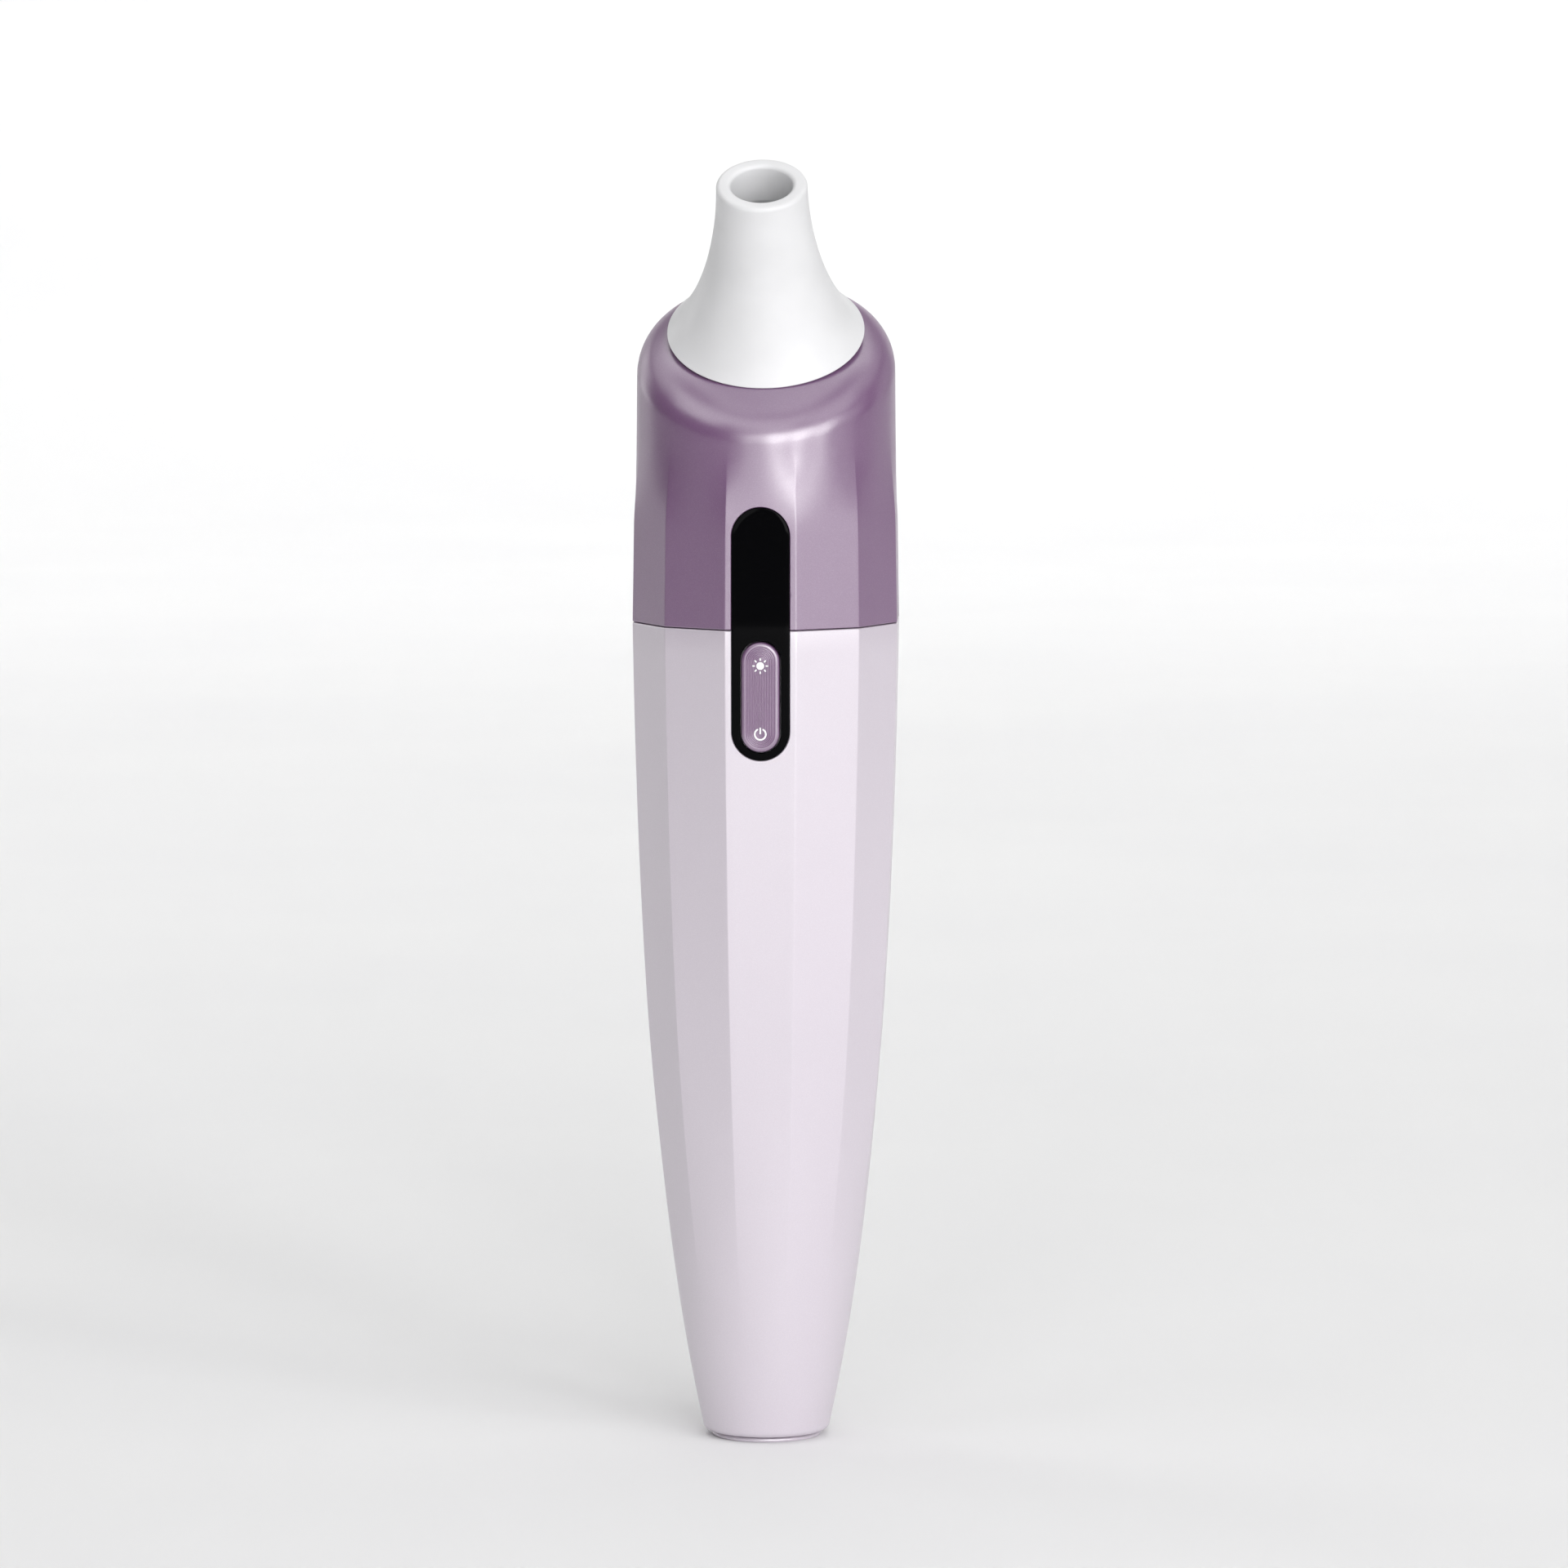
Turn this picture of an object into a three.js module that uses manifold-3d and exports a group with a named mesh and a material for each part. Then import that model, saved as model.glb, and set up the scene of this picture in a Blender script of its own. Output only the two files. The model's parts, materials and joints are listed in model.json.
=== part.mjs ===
// Handheld blackhead vacuum extractor: a faceted battery handle, a rounded head with a slanted seat,
// and a push-on suction nozzle, with the pump, motor, battery and electronics that it holds inside.
// Millimetres, +Z up the wand, front towards -Y. The origin is the centre of the base's underside.
import * as THREE from 'three';
import { mergeVertices } from 'three/addons/utils/BufferGeometryUtils.js';
import Module from 'manifold-3d';

const wasm = await Module();
wasm.setup();

// ---- Driving dimensions ----

const FACETS = 12; // flats round the handle
const AROUND = 48; // steps round a visible shell, four to a flat
const LINING = 24; // steps round the shells' inner skin
const INSIDE = 16; // steps round a hidden piece
const SMALL = 8; // steps round a small piece
const WALL = 1.85; // moulded shell wall

const BODY_FOOT_Z = 0.75; // underside of the body shell
const SPLIT_Z = 112; // where the body shell meets the head shell
const SPLIT_GAP = 0.15;
const BODY_TOP_RADIUS = 17.92; // to the middle of a flat
const HEAD_TOP_RADIUS = 17.5;

const SEAT_Y = -1; // centre of the slanted nozzle seat
const SEAT_Z = 151.3;
const SEAT_TILT = THREE.MathUtils.degToRad(32);
const SEAT_RADIUS = 12.5; // the low boss that the nozzle sits on
const SEAT_HOLE = 8.9;
const SHOULDER_RADIUS = 12.6; // where the shoulder meets the boss
const SHOULDER_STEP = 0.1; // height of the boss above the shoulder at the front
const SHOULDER_DROP = 1.86; // how much higher it stands at the back

const WINDOW_Z = 111.55; // centre of the pill-shaped window
const WINDOW_WIDTH = 7.78;
const WINDOW_HEIGHT = 34.05;
const WINDOW_BACK = 16.75; // how far its back face lies in front of the axis
const POCKET_BACK = 16.6;
const POCKET_CLEARANCE = 0.16;

const BUTTON_Z = 103.12;
const BUTTON_WIDTH = 5.09;
const BUTTON_HEIGHT = 14.74;
const BUTTON_FRONT = 18.45;
const BUTTON_CLEARANCE = 0.22;
const PIVOT_FRONT = 13.6; // the rocker's pin, in front of the axis
const PIN_RADIUS = 0.5;
const PIN_HOLE = 0.62;
const SWITCH_OFFSET = 5; // each switch above or below the pivot

const BOARD_BACK = 10.8;
const BOARD_FRONT = 11.8;
const DRIVE_Y = 2.2; // axis of the motor and the pump
const CASE_RADIUS = 11; // the pump
const PUMP_SCREW_CIRCLE = 8.9;
const CUP_CIRCLE = 5.4;
const NIPPLE_OFFSET = 4.2; // inlet and outlet from the drive axis

// ---- Shape helpers: each takes and gives a three.js geometry ----

const flat = (x, y) => new THREE.Vector2(x, y);
const point = (x, y, z) => new THREE.Vector3(x, y, z);

// A closed geometry as a manifold-3d solid with its faces pointing out.
function solid(geometry) {
  const bare = geometry.index ? geometry.toNonIndexed() : geometry.clone();
  bare.deleteAttribute('normal');
  bare.deleteAttribute('uv');
  const merged = mergeVertices(bare, 1e-4);
  const corners = merged.index.array;
  const triangles = [];
  for (let i = 0; i < corners.length; i += 3) {
    const [a, b, c] = corners.slice(i, i + 3);
    if (a !== b && b !== c && c !== a) triangles.push(a, b, c);
  }
  const wrap = (triVerts) => new wasm.Manifold(new wasm.Mesh({
    numProp: 3,
    vertProperties: merged.attributes.position.array,
    triVerts: new Uint32Array(triVerts),
  }));
  const made = wrap(triangles);
  return made.volume() < 0 ? wrap(triangles.reverse()) : made;
}

function geometryOf(manifold) {
  const mesh = manifold.getMesh();
  const geometry = new THREE.BufferGeometry();
  geometry.setAttribute('position', new THREE.BufferAttribute(mesh.vertProperties, 3));
  geometry.setIndex(new THREE.BufferAttribute(mesh.triVerts, 1));
  geometry.computeVertexNormals();
  return geometry;
}

const join = (first, ...others) =>
  geometryOf(others.reduce((sum, other) => sum.add(solid(other)), solid(first)));
const cut = (first, ...tools) =>
  geometryOf(tools.reduce((rest, tool) => rest.subtract(solid(tool)), solid(first)));
const overlap = (first, second) => geometryOf(solid(first).intersect(solid(second)));

// A turned piece about Z. Its outline of [radius, z] starts and ends on the axis, or closes on itself.
function revolve(outline, steps = INSIDE) {
  const points = outline.map(([r, z]) => flat(r, z));
  const open = points[0].x === 0 && points.at(-1).x === 0;
  if (!open) points.push(points[0].clone());
  return new THREE.LatheGeometry(points, steps).rotateX(Math.PI / 2);
}

function rod(radius, from, to, steps = INSIDE) {
  return revolve([[0, from], [radius, from], [radius, to], [0, to]], steps);
}

const rodAt = (x, y, radius, from, to, steps = SMALL) => rod(radius, from, to, steps).translate(x, y, 0);

// A rod between any two points.
function rodBetween(start, end, radius, steps = SMALL) {
  const along = end.clone().sub(start);
  const turn = new THREE.Quaternion().setFromUnitVectors(point(0, 0, 1), along.clone().normalize());
  return rod(radius, 0, along.length(), steps).applyQuaternion(turn).translate(...start.toArray());
}

function block(x, y, z) {
  return new THREE.BoxGeometry(x[1] - x[0], y[1] - y[0], z[1] - z[0])
    .translate((x[0] + x[1]) / 2, (y[0] + y[1]) / 2, (z[0] + z[1]) / 2);
}

// A slot shape with round ends, longer along its second axis.
function pill(width, height) {
  const r = width / 2;
  const straight = height / 2 - r;
  const shape = new THREE.Shape();
  shape.absarc(0, straight, r, 0, Math.PI);
  shape.absarc(0, -straight, r, Math.PI, 2 * Math.PI);
  return shape;
}

// A pill facing the front, centred at a height, from one distance in front of the axis to another.
function frontPill(width, height, z, back, front, bevel = 0) {
  const geometry = new THREE.ExtrudeGeometry(pill(width, height), {
    depth: front - back - 2 * bevel,
    curveSegments: 6,
    bevelEnabled: bevel > 0,
    bevelThickness: bevel,
    bevelSize: bevel,
    bevelOffset: -bevel,
    bevelSegments: 1,
  });
  return geometry.rotateX(Math.PI / 2).translate(0, -back - bevel, z);
}

const frontRod = (x, z, radius, back, front) =>
  rod(radius, back, front, SMALL).rotateX(Math.PI / 2).translate(x, 0, z);

// A tube, or a solid lead, along a smooth path.
function tube(path, radius, bore = 0, sides = 8, steps = 20) {
  const ring = (r) => Array.from({ length: sides }, (_, i) =>
    flat(r * Math.cos((2 * Math.PI * i) / sides), r * Math.sin((2 * Math.PI * i) / sides)));
  const section = new THREE.Shape(ring(radius));
  if (bore > 0) section.holes.push(new THREE.Path(ring(bore)));
  return new THREE.ExtrudeGeometry(section, {
    extrudePath: new THREE.CatmullRomCurve3(path),
    steps,
  });
}

// A closed skin over a stack of rings, from the lowest to the highest.
function loft(rings) {
  const count = rings[0].length;
  const middle = (ring) => ring.reduce((sum, p) => sum.add(p), point(0, 0, 0)).divideScalar(count);
  const faces = [];
  const ends = [[rings[0], -1], [rings.at(-1), 1]];
  for (let i = 0; i < count; i += 1) {
    const next = (i + 1) % count;
    for (let j = 0; j + 1 < rings.length; j += 1) {
      const [low, high] = [rings[j], rings[j + 1]];
      faces.push(low[i], low[next], high[next], low[i], high[next], high[i]);
    }
    for (const [ring, side] of ends) {
      faces.push(middle(ring), ...(side > 0 ? [ring[i], ring[next]] : [ring[next], ring[i]]));
    }
  }
  return new THREE.BufferGeometry().setFromPoints(faces);
}

const spread = (from, to, steps) =>
  Array.from({ length: steps + 1 }, (_, i) => from + ((to - from) * i) / steps);

// Positions round the drive axis or the nozzle axis, the first one facing the front.
const around = (radius, turn) => [
  radius * Math.sin(2 * Math.PI * turn),
  -radius * Math.cos(2 * Math.PI * turn),
];

// ---- Outer form shared by the shells, the window and the nozzle ----

// The handle's line from the split down to the foot: radius to the middle of a flat, and height.
const bodyLine = new THREE.CubicBezierCurve(
  flat(BODY_TOP_RADIUS, SPLIT_Z),
  flat(16.92, 43.3),
  flat(11.7, 15.6),
  flat(8.66, BODY_FOOT_Z + 1),
);

// The point on the handle's line at a height, found by halving.
function bodyRadius(z) {
  let low = 0;
  let high = 1;
  for (let i = 0; i < 40; i += 1) {
    const t = (low + high) / 2;
    if (bodyLine.getPoint(t).y > z) low = t;
    else high = t;
  }
  return bodyLine.getPoint(low).x;
}

// The head narrows slowly from the split to its shoulder.
function headRadius(z) {
  const rest = THREE.MathUtils.clamp(1 - (z - SPLIT_Z) / 34, 0, 1);
  return HEAD_TOP_RADIUS + (BODY_TOP_RADIUS - HEAD_TOP_RADIUS) * rest ** 1.3;
}

// How far a point of the facetted section stands out, for a section that is partly round.
function facetScale(angle, sharpness) {
  const step = (2 * Math.PI) / FACETS;
  const off = angle - step * Math.round(angle / step);
  return 1 - sharpness + sharpness / Math.cos(off);
}

const bodySharpness = (z) => THREE.MathUtils.smoothstep(z, 13, 60);
const headSharpness = (z) => 1 - THREE.MathUtils.smoothstep(z, 125, 137);

// Gives a turned shape the twelve flats.
function facet(geometry, sharpness) {
  const at = geometry.getAttribute('position');
  for (let i = 0; i < at.count; i += 1) {
    const scale = facetScale(Math.atan2(at.getX(i), -at.getY(i)), sharpness(at.getZ(i)));
    at.setXY(i, at.getX(i) * scale, at.getY(i) * scale);
  }
  return geometry;
}

const seatX = point(1, 0, 0);
const seatBack = point(0, Math.cos(SEAT_TILT), Math.sin(SEAT_TILT));
const seatUp = point(0, -Math.sin(SEAT_TILT), Math.cos(SEAT_TILT));

// A point given across, up the slant of, and out of the slanted seat.
function seatPoint(x, up, out) {
  return point(0, SEAT_Y, SEAT_Z)
    .addScaledVector(seatX, x)
    .addScaledVector(seatBack, up)
    .addScaledVector(seatUp, out);
}

// Rings of the head's skin, set in from the outside by an amount: the wall, then the shoulder
// that rolls over towards the slanted seat, where it ends in a circle. The rim of that circle and
// the corner that the shoulder rounds off lie below the seat by drops given for the back.
function headRings({ inset, startZ, rimRadius, rimDrop, cornerDrop, steps, wallSteps, shoulderSteps }) {
  const angles = spread(0, 2 * Math.PI, steps).slice(0, -1);
  const columns = angles.map((angle) => {
    const facing = Math.cos(angle);
    const backing = (1 - facing) / 2;
    const wallTop = 145.75 - 7.6 * facing - 1.15 * facing ** 2 - inset / 2;
    const out = (z) => (headRadius(z) - inset) * (inset ? 1 : facetScale(angle, headSharpness(z)));
    const onWall = (z) => point(out(z) * Math.sin(angle), -out(z) * facing, z);
    const start = onWall(wallTop);
    const depth = inset || SHOULDER_STEP;
    const rim = seatPoint(rimRadius * Math.sin(angle), -rimRadius * facing, -depth - rimDrop * backing);
    const slantDrop = (depth + cornerDrop * backing) / Math.cos(SEAT_TILT);
    const corner = start.clone().setZ(SEAT_Z + (start.y - SEAT_Y) * Math.tan(SEAT_TILT) - slantDrop);
    const shoulder = new THREE.CubicBezierCurve3(
      start,
      start.clone().lerp(corner, 0.58),
      rim.clone().lerp(corner, 0.58),
      rim,
    );
    return [
      ...spread(startZ, wallTop, wallSteps).slice(0, -1).map(onWall),
      ...spread(0, 1, shoulderSteps).map((t) => shoulder.getPoint(t)),
    ];
  });
  return columns[0].map((_, ring) => columns.map((column) => column[ring]));
}

// ---- The assembly ----

const wand = new THREE.Group();
const drive = new THREE.Group(); // motor and pump
drive.position.y = DRIVE_Y;
const seat = new THREE.Group(); // slanted seat and what sits on it
seat.position.set(0, SEAT_Y, SEAT_Z);
seat.rotation.x = SEAT_TILT;
wand.add(drive, seat);

function piece(name, geometry, look, parent = wand) {
  const mesh = new THREE.Mesh(geometry, new THREE.MeshStandardMaterial(look));
  mesh.name = name;
  parent.add(mesh);
}

const LILAC = { color: 0xd9cfdc, roughness: 0.35, metalness: 0.2 };
const PURPLE = { color: 0x8c6f8e, roughness: 0.35, metalness: 0.6 };
const WHITE = { color: 0xf2f1f3, roughness: 0.45, metalness: 0 };
const BLACK_GLOSS = { color: 0x050505, roughness: 0.08, metalness: 0 };
const BLACK_PLASTIC = { color: 0x1d1d1f, roughness: 0.6, metalness: 0 };
const GREY_PLASTIC = { color: 0xb8b9bd, roughness: 0.5, metalness: 0 };
const BOARD_GREEN = { color: 0x1f5c3a, roughness: 0.45, metalness: 0 };
const STEEL = { color: 0xc3c5c8, roughness: 0.3, metalness: 1 };
const BRASS = { color: 0xb99655, roughness: 0.4, metalness: 1 };
const FERRITE = { color: 0x3a3a3d, roughness: 0.7, metalness: 0.1 };
const SILICONE = { color: 0xd8dadb, roughness: 0.6, metalness: 0 };
const FOAM = { color: 0x4a4a4c, roughness: 0.95, metalness: 0 };
const CELL_WRAP = { color: 0x2f6fb2, roughness: 0.4, metalness: 0 };
const NICKEL = { color: 0xcfc9b8, roughness: 0.35, metalness: 1 };
const RED_WIRE = { color: 0xb3221e, roughness: 0.5, metalness: 0 };
const BLACK_WIRE = { color: 0x161616, roughness: 0.5, metalness: 0 };

// ---- Shells ----

const pocket = frontPill(
  WINDOW_WIDTH + 2 * POCKET_CLEARANCE,
  WINDOW_HEIGHT + 2 * POCKET_CLEARANCE,
  WINDOW_Z,
  POCKET_BACK,
  POCKET_BACK + 4,
);
const buttonSlot = frontPill(
  BUTTON_WIDTH + 2 * BUTTON_CLEARANCE,
  BUTTON_HEIGHT + 2 * BUTTON_CLEARANCE,
  BUTTON_Z,
  POCKET_BACK - 3,
  POCKET_BACK + 4,
);
const displayOpening = frontPill(5.2, 12.4, 120.5, POCKET_BACK - 3, POCKET_BACK + 1);

const CAVITY_FOOT_Z = 6; // floor of the handle's cavity, above the bore for the base cap
const BASE_BORE = 6.8;

function bodyShell() {
  const footCurve = spread(0, Math.PI / 2, 2).map((a) => [
    7.66 + Math.sin(a),
    BODY_FOOT_Z + 1 - Math.cos(a),
  ]);
  const side = spread(1, 0, 10).slice(1).map((t) => bodyLine.getPoint(t).toArray());
  const outside = revolve([[0, BODY_FOOT_Z], ...footCurve, ...side, [0, SPLIT_Z]], AROUND);
  const cavitySide = spread(CAVITY_FOOT_Z, SPLIT_Z, 6).map((z) => [bodyRadius(z) - WALL, z]);
  const cavity = revolve([
    [0, CAVITY_FOOT_Z],
    ...cavitySide,
    [BODY_TOP_RADIUS - WALL, SPLIT_Z + 1],
    [0, SPLIT_Z + 1],
  ], LINING);
  const bore = rod(BASE_BORE, BODY_FOOT_Z - 1, CAVITY_FOOT_Z + 1);
  return cut(facet(outside, bodySharpness), cavity, bore, pocket, buttonSlot);
}
piece('body_shell', bodyShell(), LILAC);

const SEAT_SCREW_CIRCLE = 9.8;
const seatScrewPlaces = [0, 1 / 3, 2 / 3].map((turn) => around(SEAT_SCREW_CIRCLE, turn));
const onSeat = (geometry) => geometry.rotateX(SEAT_TILT).translate(0, SEAT_Y, SEAT_Z);

function headShell() {
  const skin = headRings({
    inset: 0,
    startZ: SPLIT_Z + SPLIT_GAP,
    rimRadius: SHOULDER_RADIUS,
    rimDrop: SHOULDER_DROP,
    cornerDrop: SHOULDER_DROP,
    steps: AROUND,
    wallSteps: 3,
    shoulderSteps: 6,
  });
  const lining = headRings({
    inset: WALL,
    startZ: SPLIT_Z - 1,
    rimRadius: 11.2,
    rimDrop: 0,
    cornerDrop: 2.5 * SHOULDER_DROP,
    steps: LINING,
    wallSteps: 2,
    shoulderSteps: 4,
  });
  const boss = onSeat(rod(SEAT_RADIUS, -2 - SHOULDER_STEP, 0, AROUND));
  const screwHoles = seatScrewPlaces.map(([x, y]) => onSeat(rodAt(x, y, 0.75, -4, -0.6)));
  const seatHole = onSeat(rod(SEAT_HOLE, -6, 2));
  return cut(join(loft(skin), boss), loft(lining), seatHole, pocket, displayOpening, ...screwHoles);
}
piece('head_shell', headShell(), PURPLE);

// A snap ring that bridges the split, open at the front for the button and the display.
const ringOutline = [[14.7, 107], [15.8, 107], [15.8, 117], [14.7, 117]];
const ringGap = block([-4.6, 4.6], [-20, -8], [100, 120]);
piece('coupling_ring', cut(revolve(ringOutline), ringGap), GREY_PLASTIC);

// ---- Window, button and switches ----

// The window's front follows the flat of the shells from below the split to above it.
function windowLens() {
  const low = WINDOW_Z - WINDOW_HEIGHT / 2 - 1;
  const high = WINDOW_Z + WINDOW_HEIGHT / 2 + 1;
  const frontAt = (z) => (z < SPLIT_Z ? bodyRadius(z) : headRadius(z));
  const front = spread(low, high, 6).map((z) => flat(-frontAt(z), z));
  const sideView = new THREE.Shape([flat(-WINDOW_BACK, high), flat(-WINDOW_BACK, low), ...front]);
  const slice = new THREE.ExtrudeGeometry(sideView, { depth: 2 * WINDOW_WIDTH, bevelEnabled: false });
  slice.translate(0, 0, -WINDOW_WIDTH);
  slice.applyMatrix4(new THREE.Matrix4().makeBasis(point(0, 1, 0), point(0, 0, 1), point(1, 0, 0)));
  const outline = frontPill(WINDOW_WIDTH, WINDOW_HEIGHT, WINDOW_Z, WINDOW_BACK - 1, WINDOW_BACK + 4);
  return cut(overlap(slice, outline), buttonSlot);
}
piece('window_lens', windowLens(), BLACK_GLOSS);

const pinRod = (radius, halfLength) =>
  rod(radius, -halfLength, halfLength, SMALL).rotateY(Math.PI / 2).translate(0, -PIVOT_FRONT, BUTTON_Z);
const pair = (make) => [make(-1), make(1)];
const span = (side, near, far) => (side > 0 ? [near, far] : [-far, -near]);
const hingeEar = (side, near, far, front, back) =>
  block(span(side, near, far), [front, back], [BUTTON_Z - 1.1, BUTTON_Z + 1.1]);

// The flange behind the cap keeps the button from falling out, and clears the wall as it rocks.
function rockerButton() {
  const cap = frontPill(BUTTON_WIDTH, BUTTON_HEIGHT, BUTTON_Z, 14.7, BUTTON_FRONT, 0.4);
  const flange = frontPill(6.2, 16.4, BUTTON_Z, 14.6, 15);
  const ears = pair((side) => hingeEar(side, 1.8, 2.7, -14.8, -12.9));
  const feet = pair((side) => {
    const z = BUTTON_Z + side * SWITCH_OFFSET;
    return block([-0.8, 0.8], [-14.8, -13.85], [z - 0.7, z + 0.7]);
  });
  return cut(join(cap, flange, ...ears, ...feet), pinRod(PIN_HOLE, 3));
}
piece('rocker_button', rockerButton(), PURPLE);
piece('rocker_pin', pinRod(PIN_RADIUS, 4.1), STEEL);

function rockerCradle() {
  const plate = block([-4.6, 4.6], [-12.5, -12], [BUTTON_Z - 9.2, BUTTON_Z + 9.2]);
  const ears = pair((side) => hingeEar(side, 3.2, 4.2, -14.4, -12.2));
  const windows = pair((side) => {
    const z = BUTTON_Z + side * SWITCH_OFFSET;
    return block([-2.1, 2.1], [-13, -11], [z - 2.1, z + 2.1]);
  });
  return cut(join(plate, ...ears), ...windows, pinRod(PIN_HOLE, 6));
}
piece('rocker_cradle', rockerCradle(), BLACK_PLASTIC);

for (const [name, side] of [['top', 1], ['bottom', -1]]) {
  const z = BUTTON_Z + side * SWITCH_OFFSET;
  const housing = block([-1.75, 1.75], [-13.15, -11.95], [z - 1.75, z + 1.75]);
  piece(`switch_${name}_body`, cut(housing, frontRod(0, z, 0.95, 12.2, 14)), BLACK_PLASTIC);
  piece(`switch_${name}_stem`, frontRod(0, z, 0.72, 12.5, 13.75), GREY_PLASTIC);
}

piece('display_module', block([-3.4, 3.4], [-15, -12.2], [113.5, 126.9]), BLACK_PLASTIC);

const boardScrewPlaces = [[6.3, 89], [-6.3, 125]];
const boardScrewHoles = boardScrewPlaces.map(([x, z]) => frontRod(x, z, 0.8, 9.4, 13));
const boardBlank = block([-7.5, 7.5], [-BOARD_FRONT, -BOARD_BACK], [86, 129]);
piece('main_board', cut(boardBlank, ...boardScrewHoles), BOARD_GREEN);
boardScrewPlaces.forEach(([x, z], i) => {
  const screw = join(frontRod(x, z, 0.6, 9.7, 12.2), frontRod(x, z, 1, 11.95, 12.75));
  piece(`board_screw_${i + 1}`, screw, STEEL);
});

// ---- Chassis and battery ----

const CELL_RADIUS = 7;
const FLOOR_Z = 24; // lower plate of the chassis
const DECK_Z = 81; // plate between the battery and the motor

function innerFrame() {
  const floor = rod(10.2, FLOOR_Z, FLOOR_Z + 2);
  const spine = block([-5, 5], [7.6, 9.2], [FLOOR_Z, DECK_Z + 1]);
  const clips = [33, 69].map((z) => cut(
    revolve([[CELL_RADIUS + 0.4, z], [8.8, z], [8.8, z + 4], [CELL_RADIUS + 0.4, z + 4]]),
    block([-12, 12], [-12, 0], [z - 1, z + 5]),
  ));
  const deckFront = block([-14, 14], [-16, -10.6], [DECK_Z - 1, DECK_Z + 3]);
  const deck = cut(rod(13, DECK_Z, DECK_Z + 2), deckFront);
  const posts = pair((side) => block(span(side, 5.2, 7.4), [-10.5, -9], [DECK_Z + 1, 128]));
  const rails = pair((side) => block(span(side, 11.6, 13), [-1.5, 5.9], [DECK_Z + 1, 127]));
  const collar = cut(
    rod(14.2, 100, 102),
    rod(10.7, 99, 103).translate(0, DRIVE_Y, 0),
    block([-16, 16], [-16, -10.5], [99, 103]),
  );
  const leadNotch = block([-9.5, -3.8], [-11, -2.5], [FLOOR_Z - 1, FLOOR_Z + 3]);
  const whole = join(floor, spine, ...clips, deck, ...posts, ...rails, collar);
  return cut(whole, leadNotch, ...boardScrewHoles);
}
piece('inner_frame', innerFrame(), GREY_PLASTIC);

const cellOutline = [
  [0, 28.2], [6.7, 28.2], [CELL_RADIUS, 28.5], [CELL_RADIUS, 77.4],
  [6.6, 77.9], [2.6, 77.9], [2.6, 78.6], [0, 78.6],
];
piece('battery_cell', revolve(cellOutline), CELL_WRAP);
piece('battery_tab_top', block([-2, 2], [-7.4, 2], [78.75, 78.95]), NICKEL);
piece('battery_tab_bottom', block([-2, 2], [-7.4, 2], [27.85, 28.05]), NICKEL);
piece('battery_pad', rod(6, 26.2, 27.7), FOAM);

// ---- Motor ----

const canOutline = [
  [10.2, 84], [10.2, 105.4], [9.6, 106], [1.75, 106], [1.75, 105], [9.4, 105], [9.4, 84],
];
piece('motor_can', revolve(canOutline), STEEL, drive);
piece('motor_end_cap', revolve([[1.3, 84], [9.2, 84], [9.2, 85.6], [1.3, 85.6]]), BLACK_PLASTIC, drive);
piece('motor_magnet', revolve([[8, 87], [9.2, 87], [9.2, 103], [8, 103]]), FERRITE, drive);
piece('motor_bushing', revolve([[1.1, 104.8], [1.6, 104.8], [1.6, 106.2], [1.1, 106.2]]), BRASS, drive);
piece('motor_pad', revolve([[3.5, 83.15], [9, 83.15], [9, 83.8], [3.5, 83.8]]), FOAM, drive);
piece('motor_shaft', rod(1, 83.9, 109.8), STEEL, drive);

function motorRotor() {
  const slots = [1 / 6, 1 / 2, 5 / 6].map((turn) =>
    block([-1, 1], [-9, -3], [87, 103]).rotateZ(2 * Math.PI * turn));
  return cut(rod(7.6, 88, 102), rod(1.15, 87, 103), ...slots);
}
piece('motor_rotor', motorRotor(), BRASS, drive);

// ---- Diaphragm pump ----

const thirds = [0, 1 / 3, 2 / 3];
const pumpScrewPlaces = thirds.map((turn) => around(PUMP_SCREW_CIRCLE, turn + 1 / 6));
const pumpScrewHoles = pumpScrewPlaces.map(([x, y]) => rodAt(x, y, 0.95, 108.5, 130));
const cupPlaces = thirds.map((turn) => around(CUP_CIRCLE, turn));
const pumpDisc = (from, to) => rod(CASE_RADIUS - 0.1, from, to);

// The slanted drive pin points at the wobble plate's centre of motion, high on the drive axis.
const wobbleCentre = point(0, 0, 118.5);
const onPin = (z) => point(2.3, 0, 108.6).lerp(wobbleCentre, (z - 108.6) / (118.5 - 108.6));

const lowerCaseOutline = [
  [3.6, 106.4], [CASE_RADIUS, 106.4], [CASE_RADIUS, 115.3], [9.8, 115.3], [9.8, 107.6], [3.6, 107.6],
];
const bosses = pumpScrewPlaces.map(([x, y]) => rodAt(x, y, 1.9, 107, 115.3));
const lowerCase = cut(join(revolve(lowerCaseOutline), ...bosses), ...pumpScrewHoles);
piece('pump_lower_case', lowerCase, BLACK_PLASTIC, drive);

const hubOutline = [[0, 110.1], [1.1, 110.1], [1.1, 107.9], [3.2, 107.9], [3.2, 111.2], [0, 111.2]];
const pinSocket = rodBetween(onPin(108.3), onPin(112), 0.65);
piece('drive_hub', cut(revolve(hubOutline), pinSocket), WHITE, drive);
piece('drive_pin', rodBetween(onPin(108.6), onPin(114.1), PIN_RADIUS), STEEL, drive);

const wobbleOutline = [[0, 114.4], [2.4, 114.4], [2.4, 112], [3.5, 112], [3.5, 115.1], [0, 115.1]];
const arms = thirds.map((turn) =>
  block([-1.2, 1.2], [-7.4, -3], [113, 114.4]).rotateZ(2 * Math.PI * turn));
piece('wobble_plate', join(revolve(wobbleOutline), ...arms), GREY_PLASTIC, drive);

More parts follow.
